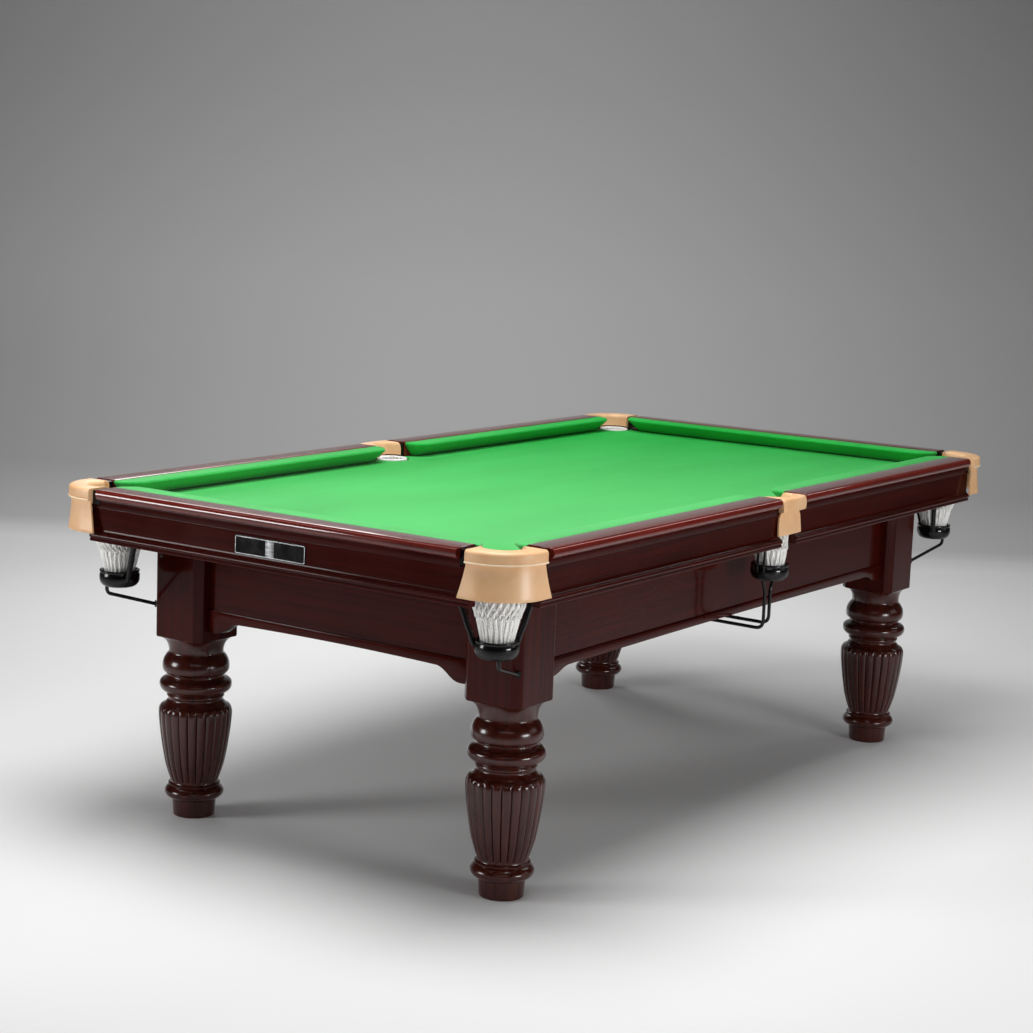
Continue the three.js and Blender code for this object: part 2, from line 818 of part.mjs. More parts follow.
// The collar that the net's lower end hangs in. It narrows like a bowl to a mouth
// that a ball just passes.
function collar(inner, top, cx, cy) {
  const outer = inner + collarThickness;
  const mouth = collarMouthRadius;
  const profile = [
    [inner, top],
    [inner + 0.6 * collarThickness, top],
    [outer, top - 0.15 * collarHeight],
    [outer, top - 0.42 * collarHeight],
    [outer - 0.25 * (outer - mouth), top - 0.7 * collarHeight],
    [mouth + 0.6 * collarThickness, top - collarHeight],
    [mouth, top - collarHeight],
    [mouth, top - 0.94 * collarHeight],
    [inner - 0.4 * (inner - mouth), top - 0.66 * collarHeight],
    [inner, top - 0.38 * collarHeight],
  ];
  const rings = Array.from({ length: netSides }, (_, i) => {
    const angle = (i / netSides) * 2 * Math.PI;
    return profile.map(([radius, z]) => around(cx, cy, radius, angle, z));
  });
  return loft(rings, true);
}

// Lets a strap run down its net's outside, clear of the cord and of the slate.
function strapLevels(levels, topCentre, topRadius, collarTop, collarRadius) {
  const below = levels.filter(([z]) => z < slateBottom - 1 && z > collarTop + 15);
  const last = levels[levels.length - 1];
  return [
    [strapTop, topRadius, topCentre],
    [slateBottom - 6, topRadius + 1, topCentre],
    ...below.map(([z, radius, centre]) => [z, radius + strapRadialClearance, centre]),
    [collarTop, collarRadius + 0.5 * collarThickness, last[2]],
    [collarTop - 0.45 * collarHeight, collarRadius + 0.3 * collarThickness, last[2]],
  ];
}

const collarSeat = 8;
const cornerCollarTop = netBottom + collarSeat;
const cornerCollarRadius = netBottomRadius + 4;
const middleCollarTop = middleNetBottom + collarSeat;
const middleCollarRadius = middleNetBottomRadius + 4;
const cornerCollarBase = cornerCollarTop - collarHeight;
const rodEndZ = cornerCollarBase - rodEndDrop;

// The post's chamfer, seen from the corner: it faces the pocket along the diagonal.
const chamferX = postInsetX + postChamfer / 2;
const chamferY = postInsetY + postChamfer / 2;
const diagonal = vec(1, 1, 0).normalize();
const sideways = vec(1, -1, 0).normalize();

function chamferPoint(across, z, off) {
  return vec(chamferX, chamferY, z).addScaledVector(sideways, across).addScaledVector(diagonal, -off);
}

// Bars end inside their plate, short of the wood.
const rodEndClearance = gap + 0.75 * mountPlateThickness;

function chamferPlate(z, width) {
  const half = mountPlateHeight / 2;
  const rings = [z - half, z + half].map((level) => [
    chamferPoint(-width / 2, level, gap),
    chamferPoint(width / 2, level, gap),
    chamferPoint(width / 2, level, gap + mountPlateThickness),
    chamferPoint(-width / 2, level, gap + mountPlateThickness),
  ]);
  return loft(rings);
}

// The iron beside a leather: a tall part behind the fascia, and a front part that
// stops above the fascia's shoulder. `start` and `end` are distances along the side.
function pocketIron(start, end, backGap) {
  const back = railTopWidth - backGap;
  return [
    { start, end, front: ironOuterInset, back, bottom: fasciaShoulder + gap },
    { start, end, front: fasciaBack + gap, back, bottom: ironBottom },
  ];
}

// The corner pocket iron: a bow under the leather's rim that joins its two end irons.
function cornerIron() {
  const top = rimBottom - gap;
  const steps = capArcSteps;
  const bow = Array.from({ length: steps + 1 }, (_, i) => {
    const angle = -Math.PI / 4 - (Math.PI * i) / steps;
    const place = (radius, z) => around(cornerHoleInset, cornerHoleInset, radius, angle, z);
    return [
      place(ironBowRadius, top - ironBowHeight),
      place(ironBowRadius + ironBowWidth, top - ironBowHeight),
      place(ironBowRadius + ironBowWidth, top),
      place(ironBowRadius, top),
    ];
  });
  const irons = pocketIron(cornerLeatherEnd + gap, cornerArmEnd - gap, cornerIronBackGap);
  return union([
    loft(bow),
    ...irons.flatMap((iron) => [
      box(iron.start, iron.end, iron.front, iron.back, iron.bottom, ironTop),
      box(iron.front, iron.back, iron.start, iron.end, iron.bottom, ironTop),
    ]),
  ]);
}

// Two arms rise beside the rails from the collar to the slate's underside, and a rod
// ties the collar to the post.
function cornerHolder() {
  const centre = [cornerNetInset, cornerNetInset];
  const outward = Math.PI * 1.25;
  const rodRing = collarMouthRadius + 0.3 * collarThickness;
  const start = around(centre[0], centre[1], rodRing, outward, cornerCollarBase + rodRadius);
  const low = vec(start.x, start.y, cornerCollarBase - rodBendDrop);
  const end = chamferPoint(0, rodEndZ, rodEndClearance);
  const rod = bar([start, ...bend(start, low, end, rodBendReach), end], rodRadius, rodSides);
  const armReach = postInsetX - cornerNetInset - armThickness - armPostClearance;
  const armFoot = cornerCollarTop - 0.45 * collarHeight;
  const armLevels = [
    [slateBottom - gap, armReach, centre],
    [slateBottom - armKneeDrop, armReach, centre],
    [armFoot, cornerCollarRadius + 0.3 * collarThickness, centre],
  ];
  return union([
    collar(cornerCollarRadius, cornerCollarTop, centre[0], centre[1]),
    strap(armLevels, -armSwing, armWidth, armThickness),
    strap(armLevels, Math.PI / 2 + armSwing, armWidth, armThickness),
    rod,
    chamferPlate(rodEndZ, mountPlateWidth),
  ]);
}

function middleHolder() {
  const centre = [0, middleNetInset];
  const topRadius = middleLeatherEnd + gap - 2;
  const top = [0, middleHoleInset - middleStrapForward];
  const levels = strapLevels(middleNetLevels, top, topRadius, middleCollarTop, middleCollarRadius);
  const irons = pocketIron(middleLeatherEnd + gap, middleArmEnd - gap, ironBackGap);
  const collarBase = middleCollarTop - collarHeight;
  const reach = outerY - apronFaceY + apronThickness + middleRodReach;
  const rod = (side, lowZ) => {
    const rodRing = collarMouthRadius + 0.3 * collarThickness;
    const start = vec(side * rodRing, middleRodInset, collarBase + rodRadius);
    const beside = (side * middleRodSpacing) / 2;
    const knee = vec(beside, middleRodInset, collarBase - middleRodNeck);
    const low = vec(beside, middleRodInset, lowZ);
    const end = vec(beside, reach, lowZ + 2);
    const points = [start, ...bend(start, knee, low, 8), ...bend(knee, low, end, middleRodBend), end];
    return bar(points, rodRadius, rodSides);
  };
  return union([
    collar(middleCollarRadius, middleCollarTop, centre[0], centre[1]),
    strap(levels, 0, middleStrapWidth, middleStrapThickness),
    strap(levels, Math.PI, middleStrapWidth, middleStrapThickness),
    ...irons.flatMap((iron) => [
      box(iron.start, iron.end, iron.front, iron.back, iron.bottom, ironTop),
      box(-iron.end, -iron.start, iron.front, iron.back, iron.bottom, ironTop),
    ]),
    rod(-1, middleRodOuterZ),
    rod(1, middleRodInnerZ),
  ]);
}

corners.forEach((corner) => {
  addMesh(`iron_${corner.tag}`, mapped(cornerIron(), atCorner(corner)), finish.blackIron);
  addMesh(`holder_${corner.tag}`, mapped(cornerHolder(), atCorner(corner)), finish.blackIron);
});
middles.forEach((middle) => {
  addMesh(`holder_${middle.tag}`, mapped(middleHolder(), atMiddle(middle)), finish.blackIron);
});

// ---------------------------------------------------------------- legs and levelling feet

// Headings that hit the corners of the chamfered post exactly.
const postCorner = Math.atan((postHalf - postChamfer) / postHalf);
const quadrant = [0, postCorner / 2, postCorner, Math.PI / 2 - postCorner, Math.PI / 2 - postCorner / 2];
const headings = [0, 1, 2, 3].flatMap((turn) => quadrant.map((angle) => angle + (turn * Math.PI) / 2));

function squareReach(angle) {
  const c = Math.abs(Math.cos(angle));
  const s = Math.abs(Math.sin(angle));
  return Math.min(postHalf / c, postHalf / s, (2 * postHalf - postChamfer) / (c + s));
}

function roundRing(radius, z) {
  return headings.map((angle) => vec(radius * Math.cos(angle), radius * Math.sin(angle), z));
}

// Blends from a round neck (share 0) to the square post (share 1).
function postRing(share, z) {
  return headings.map((angle) => {
    const radius = neckRadius + (squareReach(angle) - neckRadius) * share;
    return vec(radius * Math.cos(angle), radius * Math.sin(angle), z);
  });
}

function legSolid() {
  const stemBore = levellerStemRadius + levellerClearance;
  const padBore = levellerPadRadius + levellerClearance;
  const padBoreTop = levellerRecess + levellerPadHeight + levellerClearance;
  const stemBoreTop = levellerRecess + levellerStemLength + levellerClearance;
  const cove = postFaceBottom - neckHeight;
  const turned = [
    [stemBore, stemBoreTop],
    [stemBore, padBoreTop],
    [padBore, padBoreTop],
    [padBore, 0],
    [footRadius - 2, 0],
    [footRadius, footTopZ - 3],
    [lowerTorusRadius * 0.9, footTopZ + 4],
    [lowerTorusRadius, lowerTorusZ],
    [lowerTorusRadius * 0.88, 2 * lowerTorusZ - footTopZ - 3],
    [urnBottomRadius, urnBottomZ + 2],
    [(urnMiddleRadius + urnBottomRadius) / 2 + 2, (urnMiddleZ + urnBottomZ) / 2],
    [urnMiddleRadius, urnMiddleZ],
    [urnTopRadius - 3, urnTopZ - 28],
    [urnTopRadius, urnTopZ],
    [urnTopRadius - 8, (urnTopZ + collarZ) / 2 + 5],
    [collarRadius, collarZ - 9],
    [collarRadius, collarZ + 9],
    [lowerRingRadius - 4, lowerRingZ - 12],
    [lowerRingRadius, lowerRingZ],
    [lowerRingRadius - 5, lowerRingZ + 12],
    [neckRadius, upperGrooveZ],
    [upperRingRadius - 5, upperRingZ - 22],
    [upperRingRadius, upperRingZ],
    [upperRingRadius - 6, upperRingZ + 16],
    [neckRadius, neckHeight - 4],
  ].map(([radius, z]) => roundRing(radius, z));
  const square = [
    postRing(0.04, neckHeight + 0.2 * cove),
    postRing(0.22, neckHeight + 0.55 * cove),
    postRing(0.55, neckHeight + 0.82 * cove),
    postRing(1, postFaceBottom),
    postRing(1, frameTop),
  ];
  return loft([...turned, ...square]);
}

function levellerSolid() {
  const rings = [
    [levellerPadRadius - levellerPadBevel, 0],
    [levellerPadRadius, levellerPadBevel],
    [levellerPadRadius, levellerPadHeight],
    [levellerStemRadius, levellerPadHeight],
    [levellerStemRadius, levellerStemLength],
  ].map(([radius, z]) => Array.from({ length: levellerSides }, (_, i) => {
    const angle = (i / levellerSides) * 2 * Math.PI;
    return vec(radius * Math.cos(angle), radius * Math.sin(angle), z);
  }));
  return loft(rings);
}

corners.forEach(({ tag, sx, sy }) => {
  const leg = addMesh(`leg_${tag}`, legSolid(), finish.mahogany);
  leg.position.set(sx * legX, sy * legY, 0);
  const foot = addMesh(`leveller_${tag}`, levellerSolid(), finish.steel);
  foot.position.set(sx * legX, sy * legY, levellerRecess);
});

// ---------------------------------------------------------------- aprons

// Half of the lower edge, from the middle out to the post: nearly straight, then an
// ogee down to the ear beside the post.
function lowerEdge(half, earBottom) {
  const earStart = half - earLength;
  const drop = apronBottom - earBottom;
  const curve = new THREE.CubicBezierCurve(
    new THREE.Vector2(earStart, apronBottom),
    new THREE.Vector2(earStart + 0.45 * (earLength - earFlat), apronBottom),
    new THREE.Vector2(earStart + 0.55 * (earLength - earFlat), apronBottom - drop),
    new THREE.Vector2(half - earFlat, apronBottom - drop),
  );
  const ogee = curve.getPoints(6).map((point) => [point.x, point.y]);
  const arch = [[0, apronBottom + apronArch], [earStart / 2, apronBottom + apronArch * 0.75]];
  return [...arch, ...ogee, [half, earBottom]];
}

function apronSolid(half, earBottom) {
  const edge = lowerEdge(half, earBottom);
  const mirrored = edge.slice(1).reverse().map(([x, z]) => [-x, z]);
  const lower = [...mirrored, ...edge];
  const bandTop = apronBottom + bandHeight;
  const panel = slab([...lower, [half, frameTop], [-half, frameTop]], 0, apronThickness);
  const face = apronThickness + bandProud;
  const band = slab([...lower, [half, bandTop], [-half, bandTop]], apronThickness / 2, face);
  return union([panel, band]);
}

// Drawn with the outer face up; `place` stands it on edge against the posts.
[-1, 1].forEach((sy) => {
  const half = legX - postHalf - gap;
  const place = (x, z, out) => [x, sy * (apronFaceY - apronThickness + out), z];
  const apron = mapped(apronSolid(half, earBottomLong), place);
  addMesh(sy < 0 ? 'apron_front' : 'apron_rear', apron, finish.mahogany);
});
[-1, 1].forEach((sx) => {
  const half = legY - postHalf - gap;
  const place = (y, z, out) => [sx * (apronFaceX - apronThickness + out), y, z];
  const apron = mapped(apronSolid(half, earBottomShort), place);
  addMesh(sx < 0 ? 'apron_left' : 'apron_right', apron, finish.mahogany);
});

// Cross beams sit under the slate joints and the middle of the bed.
const beamHalf = apronFaceY - apronThickness - gap;
['beam_left', 'beam_middle', 'beam_right'].forEach((name, i) => {
  const x = (i - 1) * (slateLength / 2);
  const half = beamThickness / 2;
  const beam = box(x - half, x + half, -beamHalf, beamHalf, frameTop - beamHeight, frameTop);
  addMesh(name, beam, finish.softwood);
});

// ---------------------------------------------------------------- name plate

function plaqueOutline() {
  const halfW = plaqueWidth / 2 - plaqueCornerRadius;
  const halfH = plaqueHeight / 2 - plaqueCornerRadius;
  return [0, 1, 2, 3].flatMap((turn) => {
    const x = (turn === 0 || turn === 3 ? 1 : -1) * halfW;
    const y = (turn < 2 ? 1 : -1) * halfH;
    return arcPoints(x, y, plaqueCornerRadius, (turn * Math.PI) / 2, ((turn + 1) * Math.PI) / 2, 3);
  });
}

const plaque = slab(plaqueOutline(), 0, plaqueThickness);
const plaqueFaceX = outerX - fasciaInset + gap;
const onLeftEnd = (y, z, out) => [-plaqueFaceX - out, y, plaqueCentreZ + z];
addMesh('name_plate', mapped(plaque, onLeftEnd), finish.plate);

export default table;
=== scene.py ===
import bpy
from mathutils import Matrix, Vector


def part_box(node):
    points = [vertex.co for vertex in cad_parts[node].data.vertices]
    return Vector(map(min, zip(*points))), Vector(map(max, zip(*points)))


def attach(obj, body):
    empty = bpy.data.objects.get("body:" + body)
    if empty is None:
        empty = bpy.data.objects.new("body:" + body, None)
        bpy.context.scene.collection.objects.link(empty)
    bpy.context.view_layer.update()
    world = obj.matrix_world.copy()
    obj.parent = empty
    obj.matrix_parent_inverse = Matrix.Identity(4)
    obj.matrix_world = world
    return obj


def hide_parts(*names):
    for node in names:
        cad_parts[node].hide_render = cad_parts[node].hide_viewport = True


bl_info = {
    "name": "Pool table",
    "version": (1, 0, 0),
    "blender": (4, 5, 0),
    "location": "View3D > Sidebar > Pool table",
    "description": "Builds a mahogany pool table with leather pockets and cord nets on its loaded frame",
    "category": "Add Mesh",
}

import math

import bmesh
import bpy
from mathutils import Matrix, Vector

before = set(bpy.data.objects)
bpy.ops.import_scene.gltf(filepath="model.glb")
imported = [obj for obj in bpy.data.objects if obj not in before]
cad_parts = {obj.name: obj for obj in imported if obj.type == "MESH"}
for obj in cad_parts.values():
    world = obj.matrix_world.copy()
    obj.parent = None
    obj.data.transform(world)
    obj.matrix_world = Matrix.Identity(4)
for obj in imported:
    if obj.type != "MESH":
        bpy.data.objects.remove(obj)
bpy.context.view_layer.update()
ROOT = "table"

# Lowest and highest corners of the frame's own solids. The defaults below come from them.
RAIL, END_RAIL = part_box("rail_front_left"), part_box("rail_left_end")
CLOTH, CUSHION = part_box("bed_cloth"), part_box("cushion_front_left")
FASCIA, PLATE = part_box("fascia_front_left"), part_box("name_plate")
LEATHER, MIDDLE_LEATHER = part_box("leather_front_left"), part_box("leather_front_middle")
LEG, SIDE_APRON, END_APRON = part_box("leg_front_left"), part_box("apron_front"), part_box("apron_left")

CLEARANCE = 0.0003  # left between neighbouring pieces, so that no two share a face
BAND_PROUD = 0.005  # how far the aprons' band stands out from the board
SKIRT_SPREAD = 0.017
OUTER_X, OUTER_Y = -END_RAIL[0].x, -RAIL[0].y
LEG_X, LEG_Y = -(LEG[0].x + LEG[1].x) / 2, -(LEG[0].y + LEG[1].y) / 2
POST = LEG_X + SIDE_APRON[0].x - CLEARANCE

CORNERS = {
    "front_left": (-1, -1),
    "front_right": (1, -1),
    "rear_left": (-1, 1),
    "rear_right": (1, 1),
}
MIDDLES = {"front_middle": -1, "rear_middle": 1}
ENDS = {"left_end": -1, "right_end": 1}


# ------------------------------------------------------------------ properties


def length(name, description, default):
    """A size in metres that the panel shows."""
    return bpy.props.FloatProperty(
        name=name, description=description, default=default, min=0.0, unit="LENGTH", precision=4
    )


def colour(name, description, default):
    """A colour that the panel shows."""
    told = description + ", as an sRGB hex value"
    return bpy.props.StringProperty(name=name, description=told, default=default)


class TableTopSizes(bpy.types.PropertyGroup):
    """Sizes of the bed, rails and cushions."""

    outer_x: length("Half length", "Middle of the table to the outer face of an end rail", OUTER_X)
    outer_y: length("Half width", "Middle of the table to the outer face of a side rail", OUTER_Y)
    rail_top: length("Rail height", "Floor to the top of the rails", RAIL[1].z)
    bed: length("Bed height", "Floor to the top of the cloth", CLOTH[1].z)
    rail_width: length("Rail width", "Width of the wooden rail cap", OUTER_Y + CUSHION[0].y)
    cushion_depth: length("Cushion depth", "Wood to the cushion nose", CUSHION[1].y - CUSHION[0].y)
    nose_height: length("Nose height", "Bed to the cushion nose", 0.0365)
    lip: length("Bullnose", "Height of the rail's rounded outer edge", 0.024)
    fascia_inset: length(
        "Fascia inset", "Outer face of the rail to the fascia board", OUTER_X + PLATE[1].x + CLEARANCE
    )
    fascia_bottom: length("Fascia bottom", "Floor to the lower edge of the fascia", FASCIA[0].z)
    cloth_thickness: length("Cloth thickness", "Thickness of the bed cloth", CLOTH[1].z - CLOTH[0].z)


class PocketSizes(bpy.types.PropertyGroup):
    """Sizes of the pocket leathers, nets and holders."""

    hole: length("Hole radius", "Radius of the leather's mouth", 0.048)
    corner_inset: length("Corner pocket inset", "Outer faces to the middle of a corner pocket", 0.098)
    corner_radius: length("Corner leather radius", "Outer radius of a corner leather", 0.106)
    corner_end: length("Corner rail end", "Outer corner to the rail's end", OUTER_X + RAIL[0].x)
    corner_leather: length(
        "Corner leather end", "Outer corner to the end of the leather", OUTER_X + LEATHER[1].x - SKIRT_SPREAD
    )
    middle_inset: length("Middle pocket inset", "Outer face to the middle of a side pocket", 0.072)
    middle_end: length("Middle rail end", "Middle of the side to the rail's end", -RAIL[1].x)
    middle_leather: length(
        "Middle leather end", "Middle of the side to the end of the leather", MIDDLE_LEATHER[1].x
    )
    rim: length("Rim depth", "Thickness of the leather rim", 0.036)
    seam_drop: length("Seam drop", "Rail top down to the raised seam", 0.027)
    skirt_drop: length("Skirt drop", "Rail top down to the skirt's lower edge", RAIL[1].z - LEATHER[0].z)
    skirt_inset: length("Skirt inset", "How far the skirt sits back under the seam", 0.0065)
    skirt_flare: length("Skirt flare", "How far the skirt stands past the rim at its lower edge", 0.001)
    skirt_spread: length(
        "Skirt spread", "How much wider each side of the skirt is at its lower edge", SKIRT_SPREAD
    )
    leather: length("Leather thickness", "Thickness of the skirt leather", 0.005)
    cord: length("Cord radius", "Radius of the net's cord", 0.0030)
    rod: length("Rod radius", "Radius of the holder's rods", 0.0045)
    collar: length("Bowl height", "Height of the bowl under a net", 0.042)
    bowl: length("Bowl radius", "Radius of the bowl's upper opening", 0.041)
    mouth: length("Bowl mouth", "Radius of the bowl's lower opening", 0.028)
    corner_bowl: length("Corner bowl drop", "Bed down to the lip of a corner bowl", 0.168)
    middle_bowl: length("Middle bowl drop", "Bed down to the lip of a middle bowl", 0.136)
    corner_lean: length("Corner net lean", "How far a corner net's lower end has moved in", 0.020)
    middle_lean: length("Middle net lean", "How far a middle net's lower end has moved out", 0.008)


class BaseSizes(bpy.types.PropertyGroup):
    """Sizes of the legs and aprons."""

    leg_x: length("Leg spacing X", "Middle of the table to a leg's axis, along the length", LEG_X)
    leg_y: length("Leg spacing Y", "Middle of the table to a leg's axis, across the width", LEG_Y)
    post: length("Post half width", "Leg axis to the face of its square post", POST)
    chamfer: length("Post chamfer", "Size of the flat on the post's corners", 0.0175)
    frame_top: length("Frame top", "Floor to the top of the posts and aprons", LEG[1].z)
    reed_depth: length("Reed depth", "Depth of the grooves between the reeds", 0.0048)
    apron_thickness: length(
        "Apron thickness", "Thickness of the apron boards", SIDE_APRON[1].y - SIDE_APRON[0].y - BAND_PROUD
    )
    apron_recess: length(
        "Apron recess", "Post face to the apron's face", LEG_Y + POST + SIDE_APRON[0].y + BAND_PROUD
    )
    apron_bottom: length("Apron bottom", "Floor to the apron's lower edge", 0.518)
    ear_short: length("Short ear", "Floor to the ear's lower edge on the ends", END_APRON[0].z)
    ear_long: length("Long ear", "Floor to the ear's lower edge on the sides", SIDE_APRON[0].z)
    ear_length: length("Ear length", "Length of the ear beside a post", 0.100)
    band: length("Band height", "Height of the raised band on the aprons", 0.026)


class FinishColours(bpy.types.PropertyGroup):
    """Colours of the finishes."""

    mahogany_dark: colour("Mahogany grain", "Dark grain of the lacquered mahogany", "#240401")
    mahogany_light: colour("Mahogany", "Body colour of the lacquered mahogany", "#3D0C06")
    # lighter than the body colour: partly the caps' own tone, partly painted light for the lit rail tops
    mahogany_cap: colour("Mahogany cap", "Redder mahogany of the rail caps", "#6B221B")
    mahogany_turned: colour("Mahogany turning", "Browner mahogany of the turned legs", "#42170E")
    cloth: colour("Cloth", "Green of the wool cloth", "#2BB64C")
    cloth_dark: colour("Cloth shade", "Shaded pile of the wool cloth", "#1DA43E")
    leather: colour("Leather", "Tan of the pocket leathers", "#EDBF91")
    leather_pale: colour("Leather edge", "Pale edge and seam of the pocket leathers", "#F6E2C4")
    cord: colour("Cord", "White of the nets", "#FAF9F6")
    enamel: colour("Enamel", "Black of the pocket irons", "#060606")


# ------------------------------------------------------------------ materials


def linear(hex_value):
    """An sRGB hex value as linear RGBA."""
    parts = [int(hex_value[i : i + 2], 16) / 255 for i in (1, 3, 5)]
    return tuple(c / 12.92 if c <= 0.04045 else ((c + 0.055) / 1.055) ** 2.4 for c in parts) + (1.0,)


def add_node(tree, kind, settings=None, **links):
    """Adds a node. Settings are attributes, and links are sockets by name or number:
    a value is set on the socket, and a socket of another node is linked to it."""
    made = tree.nodes.new(kind)
    for key, value in (settings or {}).items():
        setattr(made, key, value)
    for key, value in links.items():
        plain = key.replace("_", " ")
        if key.startswith("in_"):
            socket = made.inputs[int(key[3:])]
        else:
            socket = made.inputs[plain]
        if isinstance(value, bpy.types.NodeSocket):
            tree.links.new(value, socket)
        else:
            socket.default_value = value
    return made


def new_material(name):
    """An empty node material and its tree."""
    made = bpy.data.materials.new(name)
    made.use_nodes = True
    made.node_tree.nodes.clear()
    return made, made.node_tree


def surface(tree, **inputs):
    """A Principled surface wired to the output."""
    shader = add_node(tree, "ShaderNodeBsdfPrincipled", **inputs)
    add_node(tree, "ShaderNodeOutputMaterial", in_0=shader.outputs[0])
    return shader


def ramp(tree, factor, stops):
    """A colour ramp through the stops, each a position and a linear colour."""
    made = add_node(tree, "ShaderNodeValToRGB", in_0=factor)
    band = made.color_ramp
    band.elements[0].position, band.elements[0].color = stops[0]
    band.elements[1].position, band.elements[1].color = stops[-1]
    for position, value in stops[1:-1]:
        band.elements.new(position).color = value
    return made.outputs["Color"]


def place_coordinates(tree, scale):
    """Object coordinates in metres, multiplied along each axis."""
    where = add_node(tree, "ShaderNodeTexCoord")
    return add_node(tree, "ShaderNodeMapping", in_0=where.outputs["Object"], Scale=scale).outputs[0]


def lumps(tree, scale, detail, **more):
    """Noise with that many lumps to the metre along each axis."""
    where = place_coordinates(tree, scale)
    return add_node(tree, "ShaderNodeTexNoise", in_0=where, Scale=1.0, Detail=detail, **more).outputs[0]


def ridges(tree, spacing, wobble, detail):
    """Slanting ridges, each about one spacing apart."""
    return add_node(
        tree,
        "ShaderNodeTexWave",
        {"bands_direction": "DIAGONAL"},
        in_0=place_coordinates(tree, [1 / spacing] * 3),
        Scale=0.3,
        Distortion=wobble,
        Detail=detail,
    ).outputs[1]


def weigh(tree, value, share, base):
    """Adds a share of one grey value to another."""
    kind = {"operation": "MULTIPLY_ADD"}
    return add_node(tree, "ShaderNodeMath", kind, in_0=value, in_1=share, in_2=base).outputs[0]


def graded(tree, value, low, high, start=0.3, end=0.7):
    """Maps a grey value between start and end to the range from low to high."""
    ends = {"From_Min": start, "From_Max": end, "To_Min": low, "To_Max": high}
    return add_node(tree, "ShaderNodeMapRange", in_0=value, **ends).outputs[0]


def dented(tree, height, strength, depth, settings=None):
    """A normal that follows a height of the given depth in metres."""
    return add_node(
        tree, "ShaderNodeBump", settings, Strength=strength, Distance=depth, Height=height
    ).outputs[0]


def lacquered_mahogany(name, axis, dark, light, coat, coat_roughness=0.05):
    # Ribbon-striped mahogany under clear gloss lacquer: long thin dark pores over a red
    # brown body, with a mirror-like coat that shows the room as soft streaks.
    made, tree = new_material(name)
    pore, figure, cloud = 1 / 0.0016, 1 / 0.014, 1 / 0.16
    along = 0.035
    fine = [pore] * 3
    fine[axis] = pore * along
    broad = [figure] * 3
    broad[axis] = figure * along
    pores = lumps(tree, fine, 3.0)
    ribbon = lumps(tree, broad, 4.0, Roughness=0.55)
    patch = lumps(tree, [cloud] * 3, 2.0)
    grain = weigh(tree, pores, 0.35, ribbon)
    drift = weigh(tree, patch, 0.3, grain)
    dark, light = linear(dark), linear(light)
    middle = tuple(a * 0.45 + b * 0.55 for a, b in zip(dark, light))
    tint = ramp(tree, drift, [(0.52, dark), (0.74, middle), (1.0, light)])
    surface(
        tree,
        Base_Color=tint,
        Roughness=graded(tree, patch, 0.17, 0.27),
        IOR=1.5,
        Specular_IOR_Level=0.06,
        Coat_Weight=coat,
        Coat_Roughness=coat_roughness,
        Normal=dented(tree, grain, 0.05, 0.0004),
    )
    return made


def wool_cloth(name, colours):
    # Worsted wool baize, napped and ironed: matt, with a soft sheen and a faint twill that
    # is drawn at 2.4 mm, coarser than the real 0.5 mm thread, so that it can be seen. A
    # painted sheen is heaviest at one end and fades out toward the far corner, so that end looks paler, as if
    # lit more strongly.
    made, tree = new_material(name)
    twill = ridges(tree, 0.0024, 1.2, 2.0)
    nap = lumps(tree, [1 / 0.006] * 3, 4.0)
    brushed = lumps(tree, [1.6, 5.0, 5.0], 2.0)
    shades = [(0.45, linear(colours.cloth_dark)), (0.95, linear(colours.cloth))]
    tint = ramp(tree, weigh(tree, nap, 0.4, brushed), shades)
    where = add_node(tree, "ShaderNodeTexCoord").outputs["Object"]
    dot = {"operation": "DOT_PRODUCT"}
    # painted sheen: the heading along which the sheen weight falls from one end of the bed to the other
    along = add_node(tree, "ShaderNodeVectorMath", dot, in_0=where, in_1=(0.82, 0.57, 0.0))
    surface(
        tree,
        Base_Color=tint,
        Roughness=0.92,
        Specular_IOR_Level=0.12,
        Sheen_Weight=graded(tree, along.outputs["Value"], 0.42, 0.04, -0.9, 1.0),
        Sheen_Roughness=0.6,
        Sheen_Tint=(0.85, 1.0, 0.88, 1.0),
        Normal=dented(tree, weigh(tree, twill, 0.4, nap), 0.16, 0.0006),
    )
    return made


def pocket_leather(name, base, shade, roughness):
    # Vegetable-tanned saddle leather, new and waxed: an even tan with small pebbled pores
    # and a soft shine.
    made, tree = new_material(name)
    pebbles = place_coordinates(tree, [1 / 0.0018] * 3)
    pore = add_node(tree, "ShaderNodeTexVoronoi", {"feature": "F1"}, in_0=pebbles, Scale=1.0).outputs[0]
    mottle = lumps(tree, [1 / 0.07] * 3, 2.0)
    tint = ramp(tree, weigh(tree, pore, -0.12, mottle), [(0.2, linear(shade)), (0.5, linear(base))])
    surface(
        tree,
        Base_Color=tint,
        Roughness=graded(tree, mottle, roughness + 0.08, roughness - 0.06),
        IOR=1.46,
        Coat_Weight=0.15,
        Coat_Roughness=0.25,
        Normal=dented(tree, pore, 0.22, 0.0003, {"invert": True}),
    )
    return made


def cotton_cord(name, colours):
    # Three-ply cotton cord, soft and matt: the lay of the plies shows as fine slanting
    # ridges about 3 mm apart, with painted shade greying the hollows between them.
    made, tree = new_material(name)
    ply = ridges(tree, 0.003, 2.0, 1.5)
    dust = lumps(tree, [1 / 0.02] * 3, 3.0)
    # painted shade: the ramp greys the cord where the ply ridges dip
    shades = [(0.35, linear("#F0EEE9")), (0.8, linear(colours.cord))]
    tint = ramp(tree, weigh(tree, ply, 0.5, dust), shades)
    surface(
        tree,
        Base_Color=tint,
        Roughness=0.88,
        Specular_IOR_Level=0.2,
        Sheen_Weight=0.3,
        Subsurface_Weight=0.5,
        Subsurface_Radius=(0.004, 0.004, 0.004),
        Subsurface_Scale=1.0,
        Normal=dented(tree, ply, 0.5, 0.0008),
    )
    return made


